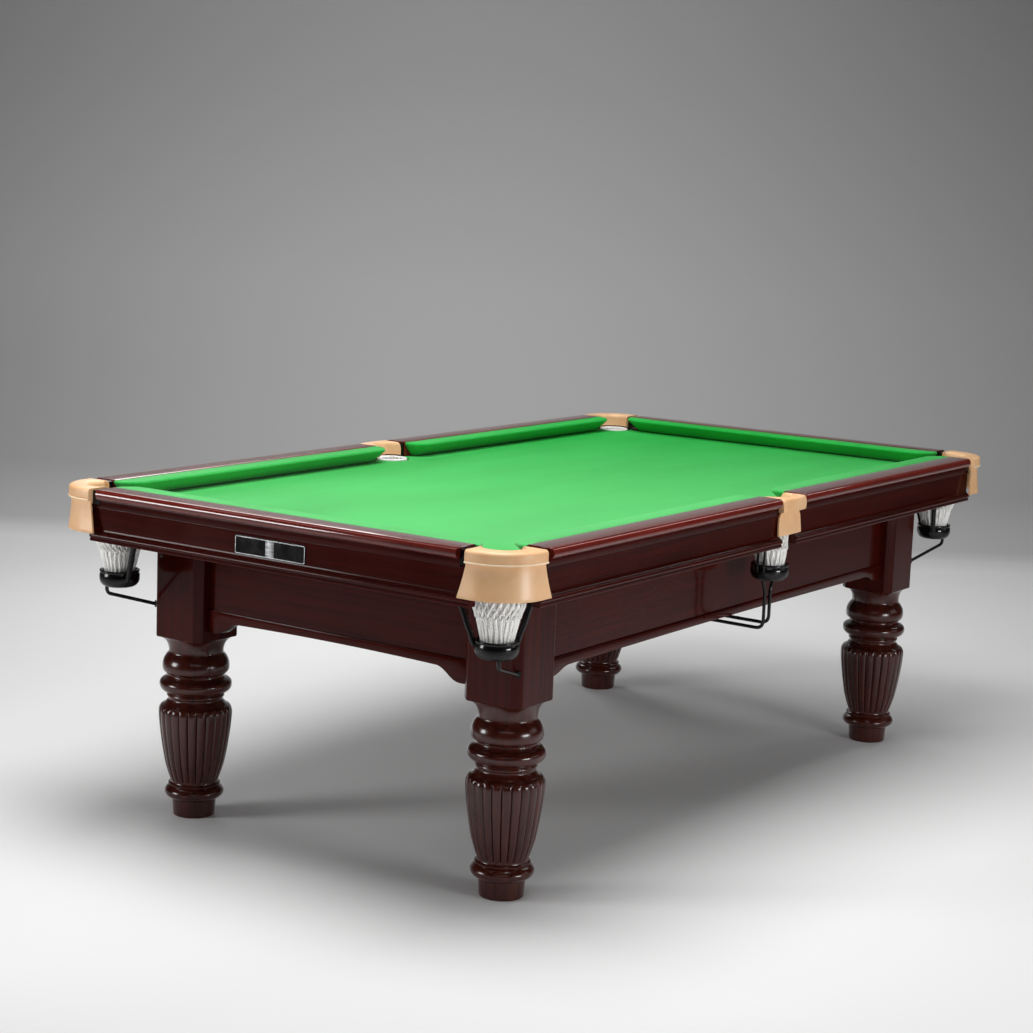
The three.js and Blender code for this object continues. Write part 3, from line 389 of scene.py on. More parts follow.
def stoved_enamel(name, base, roughness):
    # Black stoved enamel over iron: deep and glossy, with a slight orange peel and a few
    # rubbed, duller patches.
    made, tree = new_material(name)
    peel = lumps(tree, [1 / 0.004] * 3, 2.0)
    rub = lumps(tree, [1 / 0.03] * 3, 4.0)
    tint = ramp(tree, rub, [(0.35, linear(base)), (0.75, linear("#121111"))])
    surface(
        tree,
        Base_Color=tint,
        Roughness=graded(tree, rub, roughness, roughness + 0.2, 0.3, 0.75),
        IOR=1.5,
        Specular_IOR_Level=0.12,
        Coat_Weight=0.4,
        Coat_Roughness=0.05,
        Normal=dented(tree, peel, 0.08, 0.0005),
    )
    return made


def speckled(name, dark, light, speck, stretch, roughness, metal=0.0):
    """A plain base for slate, softwood and zinc: two tones of noise at a real speck size."""
    made, tree = new_material(name)
    fleck = lumps(tree, [share / speck for share in stretch], 5.0)
    surface(
        tree,
        Base_Color=ramp(tree, fleck, [(0.35, linear(dark)), (0.65, linear(light))]),
        Roughness=graded(tree, fleck, roughness - 0.07, roughness + 0.07),
        Metallic=metal,
        Normal=dented(tree, fleck, 0.1, 0.0005),
    )
    return made


# Finishes by key, filled by make_materials before the first piece is built.
MATERIALS = {}


def make_materials(colours):
    """Mixes every finish once; the pieces pick theirs by key."""
    made = MATERIALS
    dark, body, cap = colours.mahogany_dark, colours.mahogany_light, colours.mahogany_cap
    made["wood_x"] = lacquered_mahogany("lacquered_mahogany_along_x", 0, dark, body, 0.22)
    made["wood_y"] = lacquered_mahogany("lacquered_mahogany_along_y", 1, dark, body, 0.12)
    made["wood_z"] = lacquered_mahogany("lacquered_mahogany_along_z", 2, dark, body, 0.12)
    # The turned part of a leg takes more lacquer, rubbed down, so its rings carry soft bands.
    turned = colours.mahogany_turned
    made["turned"] = lacquered_mahogany("turned_mahogany", 2, dark, turned, 0.8, 0.2)
    # The caps take a lighter, redder copy of the mahogany and are polished higher than the rest;
    # the lightness is partly their own tone and partly painted light for the lit rail tops.
    made["cap_x"] = lacquered_mahogany("polished_mahogany_along_x", 0, body, cap, 0.9)
    made["cap_y"] = lacquered_mahogany("polished_mahogany_along_y", 1, body, cap, 0.9)
    made["cloth"] = wool_cloth("wool_baize_bed", colours)
    made["leather"] = pocket_leather("saddle_leather", colours.leather, "#E0AC7A", 0.42)
    made["seam"] = pocket_leather("saddle_leather_edge", colours.leather_pale, "#EFD6B2", 0.5)
    made["cord"] = cotton_cord("cotton_net_cord", colours)
    made["enamel"] = stoved_enamel("black_stoved_enamel", colours.enamel, 0.16)
    even, streaked = (1, 1, 1), (1, 0.05, 1)
    # Honed blue-grey slate, matt, with a close mineral fleck.
    made["slate"] = speckled("honed_slate", "#4A4F54", "#6A6F73", 0.012, even, 0.7)
    # Planed pine for the hidden beams: pale, with long soft streaks across the table.
    made["pine"] = speckled("planed_pine", "#96703F", "#C9A26C", 0.010, streaked, 0.65)
    # Zinc-plated steel: bright grey with a fine satin spangle.
    made["zinc"] = speckled("zinc_plated_steel", "#8E9194", "#B4B6B8", 0.004, even, 0.36, 1.0)
    # Clear-anodised aluminium for the plate's border, brushed along its length.
    made["silver"] = speckled("brushed_aluminium", "#8F9092", "#C2C3C5", 0.002, streaked, 0.32, 1.0)


# ------------------------------------------------------------------ mesh helpers


def arc(cx, cy, rx, ry, start, end, steps):
    """Points on an ellipse between two angles in degrees."""
    angles = [math.radians(start + (end - start) * i / steps) for i in range(steps + 1)]
    return [(cx + rx * math.cos(a), cy + ry * math.sin(a)) for a in angles]


def skin(rings, closed=False):
    """Joins rings of equal length with quads, and closes the ends or the loop."""
    count = len(rings[0])
    verts = [tuple(point) for ring in rings for point in ring]
    faces = []
    spans = len(rings) if closed else len(rings) - 1
    for i in range(spans):
        here, there = i * count, ((i + 1) % len(rings)) * count
        for j in range(count):
            k = (j + 1) % count
            faces.append((here + j, here + k, there + k, there + j))
    if not closed:
        last = (len(rings) - 1) * count
        faces.append(tuple(range(count - 1, -1, -1)))
        faces.append(tuple(last + j for j in range(count)))
    return verts, faces


def tube(points, radius, sides=8):
    """A round bar through the points, with one radius or a radius for each point."""
    rings = []
    side = None
    for i, point in enumerate(points):
        before, after = points[max(i - 1, 0)], points[min(i + 1, len(points) - 1)]
        tangent = (after - before).normalized()
        if side is None:
            side = tangent.orthogonal().normalized()
        side = (side - tangent * side.dot(tangent)).normalized()
        up = tangent.cross(side)
        size = radius[i] if isinstance(radius, (list, tuple)) else radius
        angles = [2 * math.pi * j / sides for j in range(sides)]
        rings.append([point + (side * math.cos(a) + up * math.sin(a)) * size for a in angles])
    return skin(rings)


def rounded_path(corners, reach, steps=6):
    """A path through the corners with each inner corner rounded."""
    path = [corners[0]]
    for before, corner, after in zip(corners, corners[1:], corners[2:]):
        start = corner + (before - corner).normalized() * reach
        end = corner + (after - corner).normalized() * reach
        for i in range(steps + 1):
            t = i / steps
            path.append(start * (1 - t) ** 2 + corner * 2 * t * (1 - t) + end * t * t)
    path.append(corners[-1])
    return path


def slab(outline, place, low, high, bevel=0.0):
    """A flat board from an outline: place(u, v, height) gives each point."""
    steps = [(low, outline), (high, outline)]
    if bevel:
        round_off = bevel * 0.3
        steps[1:] = [(high - bevel, outline), (high - round_off, inset_outline(outline, round_off))]
        steps.append((high, inset_outline(outline, bevel)))
    return skin([[place(u, v, h) for u, v in ring] for h, ring in steps])


def eased_ends(start, end, section, nip=0.0008):
    """Sections along a run, drawn in a little at both ends so that the ends catch light."""
    nipped = inset_outline(section, nip)
    return [(start, nipped), (start + nip, section), (end - nip, section), (end, nipped)]


def inset_outline(outline, distance):
    """Moves each point of a closed outline in along its corner's bisector."""
    count = len(outline)
    pairs = zip(outline, outline[1:] + outline[:1])
    sign = 1 if sum(a[0] * b[1] - b[0] * a[1] for a, b in pairs) > 0 else -1
    moved = []
    for i, (x, y) in enumerate(outline):
        (px, py), (nx, ny) = outline[i - 1], outline[(i + 1) % count]
        a = Vector((x - px, y - py)).normalized()
        b = Vector((nx - x, ny - y)).normalized()
        left_a, left_b = Vector((-a.y, a.x)) * sign, Vector((-b.y, b.x)) * sign
        middle = left_a + left_b
        if middle.length < 1e-6:
            middle = left_a
        middle.normalize()
        grow = distance / max(0.35, middle.dot(left_a))  # a sharp corner moves three times at most
        moved.append((x + middle.x * grow, y + middle.y * grow))
    return moved


def ball(centre, radius, rows=4, columns=6, squash=1.0):
    """A small knot."""
    verts, faces = [], []
    for i in range(1, rows):
        out, up = math.sin(math.pi * i / rows), math.cos(math.pi * i / rows) * squash
        for j in range(columns):
            turn = 2 * math.pi * j / columns
            offset = Vector((out * math.cos(turn), out * math.sin(turn), up))
            verts.append(tuple(centre + offset * radius))
    top, bottom = len(verts), len(verts) + 1
    verts.append(tuple(centre + Vector((0, 0, radius * squash))))
    verts.append(tuple(centre - Vector((0, 0, radius * squash))))
    for i in range(rows - 2):
        for j in range(columns):
            k = (j + 1) % columns
            faces.append((i * columns + j, (i + 1) * columns + j, (i + 1) * columns + k, i * columns + k))
    for j in range(columns):
        k = (j + 1) % columns
        faces.append((top, j, k))
        faces.append((bottom, (rows - 2) * columns + k, (rows - 2) * columns + j))
    return verts, faces


def bent_ring(centre, away, radius, sides):
    """One upright section of a hoop, about its centre and square to its run."""
    turns = [2 * math.pi * m / sides for m in range(sides)]
    up = Vector((0, 0, 1))
    return [centre + (away * math.cos(m) + up * math.sin(m)) * radius for m in turns]


def rounded_outline(width, height, radius, steps=4):
    """A rounded rectangle about the origin."""
    points = []
    for turn, (x, y) in enumerate(((1, 1), (-1, 1), (-1, -1), (1, -1))):
        cx, cy = x * (width / 2 - radius), y * (height / 2 - radius)
        points += arc(cx, cy, radius, radius, 90 * turn, 90 * turn + 90, steps)
    return points


def move(part, place):
    """Puts a part where place(point) says, and keeps its choice of material."""
    verts, faces, *finish = part
    return ([tuple(place(Vector(v))) for v in verts], faces, *finish)


def make_piece(name, parts, materials, replaces, sharp):
    """One object from closed parts; each part may name which of the materials it takes.
    It rides on the table's body and stands for one frame solid or more."""
    mesh = bpy.data.meshes.new(name)
    verts, faces, index = [], [], []
    for part in parts:
        shift = len(verts)
        verts += part[0]
        faces += [tuple(shift + i for i in face) for face in part[1]]
        index += [part[2] if len(part) > 2 else 0] * len(part[1])
    mesh.from_pydata(verts, [], faces)
    mesh.polygons.foreach_set("material_index", index)
    work = bmesh.new()
    work.from_mesh(mesh)
    bmesh.ops.remove_doubles(work, verts=work.verts, dist=2e-6)
    bmesh.ops.dissolve_degenerate(work, edges=work.edges, dist=1e-7)
    bmesh.ops.triangulate(work, faces=[f for f in work.faces if len(f.verts) > 4])
    bmesh.ops.recalc_face_normals(work, faces=work.faces)
    work.to_mesh(mesh)
    work.free()
    mesh.shade_smooth()
    mesh.set_sharp_from_angle(angle=math.radians(sharp))
    for key in materials:
        mesh.materials.append(MATERIALS[key])
    made = bpy.data.objects.new(name, mesh)
    bpy.context.scene.collection.objects.link(made)
    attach(made, ROOT)
    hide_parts(*replaces)
    return made


def fit_piece(name, node, tag, place, parts, materials, sharp):
    """A copy of the parts at one pocket, in place of that pocket's frame solid."""
    placed = [move(part, place) for part in parts]
    return make_piece(f"{name}_{tag}", placed, materials, [f"{node}_{tag}"], sharp)


def finish_node(node, key):
    """Gives a carried-over frame solid its finish."""
    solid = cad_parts[node]
    solid.data.materials.clear()
    solid.data.materials.append(MATERIALS[key])


# ------------------------------------------------------------------ places


def corner_place(sx, sy, top):
    """Corner pieces are drawn by their distances in from the two outer faces."""
    return lambda p: (sx * (top.outer_x - p.x), sy * (top.outer_y - p.y), p.z)


def middle_place(sy, top):
    """Side-pocket pieces are drawn by X and the distance in from the outer face."""
    return lambda p: (p.x, sy * (top.outer_y - p.y), p.z)


def pocket_places(top):
    """How parts are placed at each pocket, for the corners and for the middles."""
    corners = {tag: corner_place(sx, sy, top) for tag, (sx, sy) in CORNERS.items()}
    middles = {tag: middle_place(sy, top) for tag, sy in MIDDLES.items()}
    return corners, middles


# How far past the wooden cap the parts under it run, at each kind of pocket.
REACHES = {
    "corner": {"fascia": 0.029, "cushion": 0.008, "jaw": 0.057},
    "middle": {"fascia": 0.028, "cushion": 0.0, "jaw": 0.042},
}


def runs(top, pockets):
    """The six runs of rail: name, start, end, the pocket at each end, grain and placing."""
    found = []
    start, end = pockets.middle_end, top.outer_x - pockets.corner_end
    for tag, (sx, sy) in CORNERS.items():
        place = lambda a, d, z, sx=sx, sy=sy: Vector((sx * a, sy * (top.outer_y - d), z))
        found.append((tag, start, end, "middle", "corner", "wood_x", place))
    half = top.outer_y - pockets.corner_end
    for tag, sx in ENDS.items():
        place = lambda a, d, z, sx=sx: Vector((sx * (top.outer_x - d), a, z))
        found.append((tag, -half, half, "corner", "corner", "wood_y", place))
    return found


# ------------------------------------------------------------------ operators: rails

FASCIA_THICKNESS = 0.016
SHOULDER_DROP = 0.0125  # the fascia's top is cut down by this much where it runs under a leather


class POOLTABLE_OT_rails(bpy.types.Operator):
    """Builds the wooden rail caps with their rounded outer edge."""

    bl_idname = "pool_table.rails"
    bl_label = "Rails"

    def execute(self, context):
        top, pockets = context.scene.pool_table_top, context.scene.pool_table_pockets
        height, half = top.rail_top, top.lip / 2
        nose_depth, edge = 0.011, 0.0015
        inner, under = top.rail_width - CLEARANCE, top.bed + CLEARANCE
        nose = arc(nose_depth, height - half, nose_depth, half, 90, 270, 14)
        ease = arc(inner - edge, height - edge, edge, edge, 0, 90, 3)
        block = top.fascia_inset + 0.0165
        section = nose + [(block, height - top.lip), (block, under), (inner, under)] + ease
        for tag, start, end, _, _, grain, place in runs(top, pockets):
            ends = eased_ends(start, end, section)
            rings = [[place(along, d, z) for d, z in ring] for along, ring in ends]
            cap = grain.replace("wood", "cap")
            make_piece(f"rail_cap_{tag}", [skin(rings)], [cap], [f"rail_{tag}"], 40)
        return {"FINISHED"}


class POOLTABLE_OT_fascias(bpy.types.Operator):
    """Builds the fascia boards with their frieze under the cap and their lower moulding."""

    bl_idname = "pool_table.fascias"
    bl_label = "Fascias"

    def execute(self, context):
        top, pockets = context.scene.pool_table_top, context.scene.pool_table_pockets
        face, back = top.fascia_inset, top.fascia_inset + FASCIA_THICKNESS
        low, high = top.fascia_bottom, top.rail_top - top.lip - 0.0008
        shoulder = high - SHOULDER_DROP
        # frieze, leaning in a little as it falls, and the quirk under it
        frieze = [(face - 0.0055, high), (face - 0.0058, high - 0.001), (face - 0.0032, high - 0.0190)]
        frieze += arc(face - 0.0042, high - 0.0200, 0.0010, 0.0012, 60, -60, 4)
        frieze += [(face, high - 0.0220), (face, low + 0.0300)]
        # cove, astragal, quirk and plinth along the lower edge
        mould = arc(face - 0.0065, low + 0.0300, 0.0065, 0.0095, 0, -90, 7)[1:]
        mould += [(face - 0.0075, low + 0.0205), (face - 0.0075, low + 0.0190)]
        mould += arc(face - 0.0070, low + 0.0135, 0.0032, 0.0050, 80, 280, 10)
        mould += [(face - 0.0062, low + 0.0078), (face - 0.0062, low + 0.0066), (face - 0.0082, low + 0.0060)]
        mould += [(face - 0.0082, low + 0.0014), (face - 0.0072, low)]
        section = [(back, high)] + frieze + mould + [(back, low)]
        lowered = [(max(d, face) if z > shoulder else d, min(z, shoulder)) for d, z in section]
        for tag, start, end, first, last, grain, place in runs(top, pockets):
            spots = [(start - REACHES[first]["fascia"], lowered), (start, lowered), (start, section)]
            spots += [(end, section), (end, lowered), (end + REACHES[last]["fascia"], lowered)]
            rings = [[place(along, d, z) for d, z in ring] for along, ring in spots]
            board = [skin(rings)]
            make_piece(f"fascia_board_{tag}", board, [grain], [f"fascia_{tag}"], 32)
        return {"FINISHED"}


class POOLTABLE_OT_cushions(bpy.types.Operator):
    """Builds the cloth-covered rubber cushions with rounded jaws."""

    bl_idname = "pool_table.cushions"
    bl_label = "Cushions"

    def execute(self, context):
        top, pockets = context.scene.pool_table_top, context.scene.pool_table_pockets
        wood, depth, bed = top.rail_width + 0.0002, top.cushion_depth, top.bed
        nose, nose_radius, gap = top.nose_height, 0.005, 0.0004
        # share of the way from the wood to the nose, and height over the bed
        share = nose_radius / depth
        top_side = [(0.0, 0.0035), (0.03, 0.0045), (0.35, 0.0046), (0.7, 0.0048), (0.84, 0.0050)]
        section = [(s, nose + rise) for s, rise in top_side]
        section += arc(1 - share, nose, share, nose_radius, 65, -60, 8)
        section += [(0.84, nose - 0.010), (0.66, nose - 0.019), (0.48, nose - 0.0275)]
        section += [(0.36, 0.004), (0.30, 0.0025), (0.0, 0.0025)]
        for tag, start, end, first, last, _, place in runs(top, pockets):
            a, b = start - REACHES[first]["cushion"] + gap, end + REACHES[last]["cushion"] - gap
            jaws = ((a, 1, REACHES[first]["jaw"], 180), (b, -1, REACHES[last]["jaw"], 90))
            rings = []
            for tip, inward, jaw, from_angle in jaws:
                for step in range(11):
                    turn = math.radians(from_angle - 9 * step)
                    x, dx, dy = tip + inward * jaw, jaw * math.cos(turn), depth * math.sin(turn)
                    rings.append([place(x + dx * s, wood + dy * s, bed + z) for s, z in section])
            strip = [skin(rings)]
            made = make_piece(f"cushion_strip_{tag}", strip, ["cloth"], [f"cushion_{tag}"], 50)
        return {"FINISHED"}


class POOLTABLE_OT_bed(bpy.types.Operator):
    """Stretches the cloth over the slate and folds it down into the pockets."""

    bl_idname = "pool_table.bed"
    bl_label = "Bed"

    def execute(self, context):
        top, pockets = context.scene.pool_table_top, context.scene.pool_table_pockets
        # the cloth's own edge and the line where it narrows, in from the outer faces
        edge, band, run = 0.0405, 0.066, 0.190
        fall, inset, middle_inset = 0.0528, pockets.corner_inset, pockets.middle_inset
        half_gap = 0.074
        swing = math.degrees(math.asin((inset - band) / fall))
        lean = math.degrees(math.asin((middle_inset - band) / fall))
        corner = [(run, edge), (run, band)] + arc(inset, inset, fall, fall, -swing, 90 + swing, 24)
        corner += [(band, run), (edge, run)]
        middle = [(-half_gap, edge), (-half_gap, band)]
        middle += arc(0, middle_inset, fall, fall, 180 + lean, -lean, 24)
        middle += [(half_gap, band), (half_gap, edge)]
        outline = []
        for (sx, sy), mid in (((-1, -1), None), ((1, -1), -1), ((1, 1), None), ((-1, 1), 1)):
            if mid is not None:
                side = [(x, mid * (top.outer_y - y)) for x, y in middle]
                outline += side if mid < 0 else side[::-1]
            points = [(sx * (top.outer_x - a), sy * (top.outer_y - b)) for a, b in corner]
            outline += points[::-1] if sx * sy > 0 else points
        flat = slab(outline, lambda u, v, h: (u, v, h), top.bed - top.cloth_thickness, top.bed)
        near, far = fall - 0.0002, fall + 0.0006
        turned_down = [(near, -0.0002), (far, -0.0001), (far, -0.022), (near, -0.0225)]

        def lip(x, y, start, end, place):
            """The cloth's edge, turned down round a pocket's cut in the slate."""
            rings = []
            for angle in [math.radians(start + (end - start) * i / 24) for i in range(25)]:
                c, s = math.cos(angle), math.sin(angle)
                ring = [Vector((x + r * c, y + r * s, top.bed + z)) for r, z in turned_down]
                rings.append([place(p) for p in ring])
            return skin(rings)

        parts = [flat]
        corners, middles = pocket_places(top)
        for place in corners.values():
            parts.append(lip(inset, inset, 2 - swing, 88 + swing, place))
        for place in middles.values():
            parts.append(lip(0, middle_inset, 178 + lean, 2 - lean, place))
        slates = ["slate_left", "slate_middle", "slate_right"]
        made = make_piece("bed_cloth_sheet", parts, ["cloth"], ["bed_cloth"], 30)
        for node in slates:
            finish_node(node, "slate")
        for node in ("beam_left", "beam_middle", "beam_right"):
            finish_node(node, "pine")
        return {"FINISHED"}


# ------------------------------------------------------------------ operators: pockets


class POOLTABLE_OT_leathers(bpy.types.Operator):
    """Builds the pocket leathers: padded rim, raised seam and a skirt tucked under it."""

    bl_idname = "pool_table.leathers"
    bl_label = "Pocket leathers"

    def execute(self, context):
        top, pockets = context.scene.pool_table_top, context.scene.pool_table_pockets
        high, round_off = top.rail_top, 0.0085
        seam = high - pockets.seam_drop
        low = high - pockets.skirt_drop
        floor = high - pockets.rim
        thick = pockets.leather

        def rim(outer, inward, width, tuck=0.0130, sink=0.0):
            """One section of the padded rim, from its outer edge to the mouth."""
            at = lambda d, z: Vector((outer.x + inward.x * d, outer.y + inward.y * d, z))
            crown = high - sink
            ring = [at(tuck, floor), at(tuck, seam - 0.0030), at(0.0004, seam - 0.0030)]
            ring += [at(0.0, seam - 0.0010)]
            ring += [at(d, z) for d, z in arc(round_off, crown - round_off, round_off, round_off, 180, 90, 8)]
            ring += [at(width * 0.5, crown)]
            ring += [at(d, z) for d, z in arc(width - 0.010, crown - 0.011, 0.010, 0.011, 90, 0, 7)]
            ring += [at(width, floor)]
            return ring

        def skirt(outer, out, along):
            """One section of the skirt: `along` is how far its lower edge has spread."""
            face = []
            for i in range(13):
                t = i / 12
                proud = -pockets.skirt_inset + (pockets.skirt_inset + pockets.skirt_flare) * t ** 1.5
                face.append((proud, seam - 0.0008 + (low + 0.0012 - seam) * t, t ** 1.2))
            tip = face[-1]
            edge = [(d, z, 1.0) for d, z in arc(tip[0] - thick / 2, tip[1], thick / 2, 0.0012, 0, -180, 6)]
            back = [(d - thick, z, share) for d, z, share in face[-2::-1]]
            ring = []
            for d, z, share in face[:-1] + edge + back:
                spot = outer + out * d + along * share
                ring.append(Vector((spot.x, spot.y, z)))
            return ring

        inset, radius, hole = pockets.corner_inset, pockets.corner_radius, pockets.hole
        end, spread = pockets.corner_leather, pockets.skirt_spread
        steps = 44
        turned = arc(radius, radius, radius, radius, -90, -180, steps)
        opening = math.degrees(math.acos((end - 0.002 - inset) / hole))
        throat = arc(inset, inset, hole, hole, -opening, opening - 270, steps)
        stations = []
        for share in (0.0, 0.06, 0.94):
            x = end + (radius - end) * share
            edge = throat[0][0] + (end - throat[0][0]) * (1 - share)
            reach = top.rail_width + (throat[0][1] - top.rail_width) * share
            stations.append(((x, 0.0), (edge, reach), (0, -1), (spread * (1 - share), 0)))
        for (x, y), inner in zip(turned, throat):
            out = Vector((x - radius, y - radius)).normalized()
            stations.append(((x, y), inner, (out.x, out.y), (0, 0)))
        mirrored = [tuple(pair[::-1] for pair in station) for station in stations[2::-1]]
        rims, skirts, seams = [], [], []
        for outer, inner, out, along in stations + mirrored:
            outer, out, along = Vector(outer), Vector(out), Vector(along)
            across = Vector(inner) - outer
            rims.append(rim(outer, across.normalized(), across.length))
            skirts.append(skirt(outer, out, along))
            seams.append((outer + out * 0.0002).to_3d() + Vector((0, 0, seam)))
        corner_parts = [skin(rims), skin(skirts), tube(seams, 0.0018, 8) + (1,)]

        half, bow = pockets.middle_leather, 0.005
        steps = 28
        rims = []
        for i, (ix, iy) in enumerate(arc(0, pockets.middle_inset, hole, hole, 0, -180, steps)):
            share = 1 - 2 * i / steps
            outer = Vector((share * half, -bow * (1 - share * share)))
            across = Vector((ix, min(iy, top.rail_width - 0.001))) - outer
            past = max(0.0, (abs(share) - 0.86) / 0.14)
            sink = 0.0075 * (1 - math.sqrt(1 - min(1.0, past) ** 2))
            rims.append(rim(outer, across.normalized(), across.length, tuck=0.0008, sink=sink))
        # drop from the rail's top, half width, and distance in from the rail's outer face
        sides = [(0.0335, 0.0400, 0.0140), (0.0385, 0.0445, 0.0142), (0.0435, 0.0500, 0.0142)]
        sides += [(0.0485, 0.0540, 0.0140), (0.0540, 0.0558, 0.0138), (0.0650, 0.0569, 0.0132)]
        sides += [(0.0800, 0.0580, 0.0123), (0.0900, 0.0588, 0.0115), (0.0950, 0.0588, 0.0111)]
        sides += [(0.0972, 0.0580, 0.0112), (0.0980, 0.0568, 0.0120)]
        skirts = []
        for i in range(25):
            share = 2 * i / 24 - 1
            puff = 0.0010 * (1 - share * share)
            ring = [Vector((share * wide, face - puff, high - drop)) for drop, wide, face in sides]
            skirts.append(ring + [point + Vector((0, thick - 0.0004, 0)) for point in reversed(ring)])
        middle_parts = [skin(rims), skin(skirts)]

        tans = ["leather", "seam"]
        corners, middles = pocket_places(top)
        for tag, place in corners.items():
            fit_piece("pocket_leather", "leather", tag, place, corner_parts, tans, 50)
        for tag, place in middles.items():
            fit_piece("pocket_leather", "leather", tag, place, middle_parts, tans[:1], 50)
        return {"FINISHED"}


def eased(t, weight):
    """A share eased at both ends, mixed with the plain share by the weight."""
    return t * t * (3 - 2 * t) * weight + t * (1 - weight)


def net_axis(levels, z):
    """Middle and radius of a net at height z, eased between its levels."""
    for (za, ra, ca), (zb, rb, cb) in zip(levels, levels[1:]):
        if za >= z >= zb:
            t = eased((za - z) / (za - zb), 0.35)
            return ca[0] + (cb[0] - ca[0]) * t, ca[1] + (cb[1] - ca[1]) * t, ra + (rb - ra) * t
    _, radius, (cx, cy) = levels[-1] if z < levels[-1][0] else levels[0]
    return cx, cy, radius


def net_parts(levels, count, tiers, cord):
    """Cords of a gathered net: two layers of tall meshes from the ring down to a zigzag row
    of knots, then close upright pleats down to the lower ring."""

    def on_net(angle, z, out=0.0):
        """A spot on the net at an angle and a height."""
        cx, cy, radius = net_axis(levels, z)
        reach = radius - cord + out
        return Vector((cx + reach * math.cos(angle), cy + reach * math.sin(angle), z))

    def hoop(at, radius, sides, steps):
        """A cord round the whole net; at(step) gives its height and how far out it lies."""
        rings = []
        for i in range(steps):
            angle = 2 * math.pi * i / steps
            away = Vector((math.cos(angle), math.sin(angle), 0))
            rings.append(bent_ring(on_net(angle, *at(i)), away, radius, sides))
        return skin(rings, closed=True)

    parts = []
    cell = 2 * math.pi / count
    knots, last = tiers[-2], len(tiers) - 2
    for layer in (0, 1):
        for i in range(count):
            middle = (i + 0.5 * layer) * cell
            for hand in (-1, 1):
                lean = [hand * (-1) ** k * cell * 0.46 for k in range(last + 1)]
                off = cord * (0.45 * hand - 1.7 * layer)
                points = []
                for k, (za, zb) in enumerate(zip(tiers[:-2], tiers[1:-1])):
                    for t in (0.0, 0.2, 0.4, 0.6, 0.8):
                        angle = middle + lean[k] * (1 - 2 * eased(t, 1))
                        points.append(on_net(angle, za + (zb - za) * t, off))
                points.append(on_net(middle + lean[last], knots, off))
                parts.append(tube(points, cord, 5))
    for i in range(2 * count):
        layer = i % 2
        points = []
        for j in range(11):
            t = j / 10
            drift = 0.10 * cell * math.sin(t * math.pi * 2 + i * 2.4)
            out = -cord * (0.2 + 1.1 * layer * (1 - 0.4 * t))
            points.append(on_net(i * cell / 2 + drift, knots + (tiers[-1] - knots) * t, out))
        parts.append(tube(points, [cord * (1.25 - 0.20 * j / 10) for j in range(11)], 6))
    zigzag = lambda i: (knots + (0, 1, 0, -1)[i % 4] * 0.0035, cord * 0.9)
    parts.append(hoop(zigzag, cord * 0.8, 5, 4 * count))
    for z in tiers[1:-1]:
        for i in range(count):
            parts.append(ball(on_net((i + 0.5) * cell, z, cord * 0.3), cord * 1.5, 4, 6, 1.2))
    for z in (tiers[0], tiers[-1]):
        parts.append(hoop(lambda i: (z, 0.0), cord * 1.2, 6, 40))
    return parts


# Height over the bed, radius, and the share of its whole lean that the axis has moved.
CORNER_NET = [
    (0.003, 0.045, 0.0),
    (-0.0263, 0.049, 0.15),
    (-0.063, 0.058, 0.6),
    (-0.0905, 0.058, 0.9),
    (-0.118, 0.049, 1.0),
    (-0.176, 0.037, 1.0),
]
MIDDLE_NET = [
    (0.003, 0.045, 0.0),
    (-0.0263, 0.046, 0.25),
    (-0.073, 0.044, 0.75),
    (-0.1085, 0.042, 1.0),
    (-0.144, 0.037, 1.0),
]
# Rows of a net over the bed: its ring, its knots and its lower ring.
CORNER_TIERS = [0.0, -0.038, -0.077, -0.115, -0.174]
MIDDLE_TIERS = [0.0, -0.032, -0.063, -0.094, -0.142]


class POOLTABLE_OT_nets(bpy.types.Operator):
    """Knots the six cord nets."""

    bl_idname = "pool_table.nets"
    bl_label = "Nets"

    def execute(self, context):
        top, pockets = context.scene.pool_table_top, context.scene.pool_table_pockets
        bed, levels = top.bed, []
        for z, radius, share in CORNER_NET:
            axis = pockets.corner_inset + share * pockets.corner_lean
            levels.append((bed + z, radius, (axis, axis)))
        corner_net = net_parts(levels, 24, [bed + z for z in CORNER_TIERS], pockets.cord)
        levels = []
        for z, radius, share in MIDDLE_NET:
            levels.append((bed + z, radius, (0.0, pockets.middle_inset - share * pockets.middle_lean)))
        middle_net = net_parts(levels, 20, [bed + z for z in MIDDLE_TIERS], pockets.cord)
        corners, middles = pocket_places(top)
        for places, net in ((corners, corner_net), (middles, middle_net)):
            for tag, place in places.items():
                fit_piece("cord_net", "net", tag, place, net, ["cord"], 80)
        return {"FINISHED"}


def eased_line(levels):
    """Points down the levels, each (height, reach, middle), eased between them."""
    points = []
    for (za, ra, ca), (zb, rb, cb) in zip(levels, levels[1:]):
        for i in range(5):
            t = i / 5
            ease = eased(t, 0.4)
            middle = (ca[0] + (cb[0] - ca[0]) * ease, ca[1] + (cb[1] - ca[1]) * ease)
            points.append((za + (zb - za) * t, ra + (rb - ra) * ease, middle))
    points.append(levels[-1])
    return points


def strap_part(levels, heading, width, thick):
    """An iron arm with rounded edges, run down past the levels at one heading."""
    away = Vector((math.cos(heading), math.sin(heading), 0))
    across = Vector((-math.sin(heading), math.cos(heading), 0))
    section = rounded_outline(width, thick, min(width, thick) * 0.4)
    made = []
    for z, reach, (cx, cy) in eased_line(levels):
        base = Vector((cx, cy, z)) + away * (reach + thick / 2)
        made.append([base + across * u + away * v for u, v in section])
    return skin(made)


def wire_part(levels, heading, shift, radius):
    """One wire of a two-wire strap, beside the strap's middle line."""
    away = Vector((math.cos(heading), math.sin(heading), 0))
    across = Vector((-math.sin(heading), math.cos(heading), 0))
    line = []
    for z, reach, (cx, cy) in eased_line(levels):
        line.append(Vector((cx, cy, z)) + away * (reach + radius) + across * shift)
    return tube(line, radius, 8)


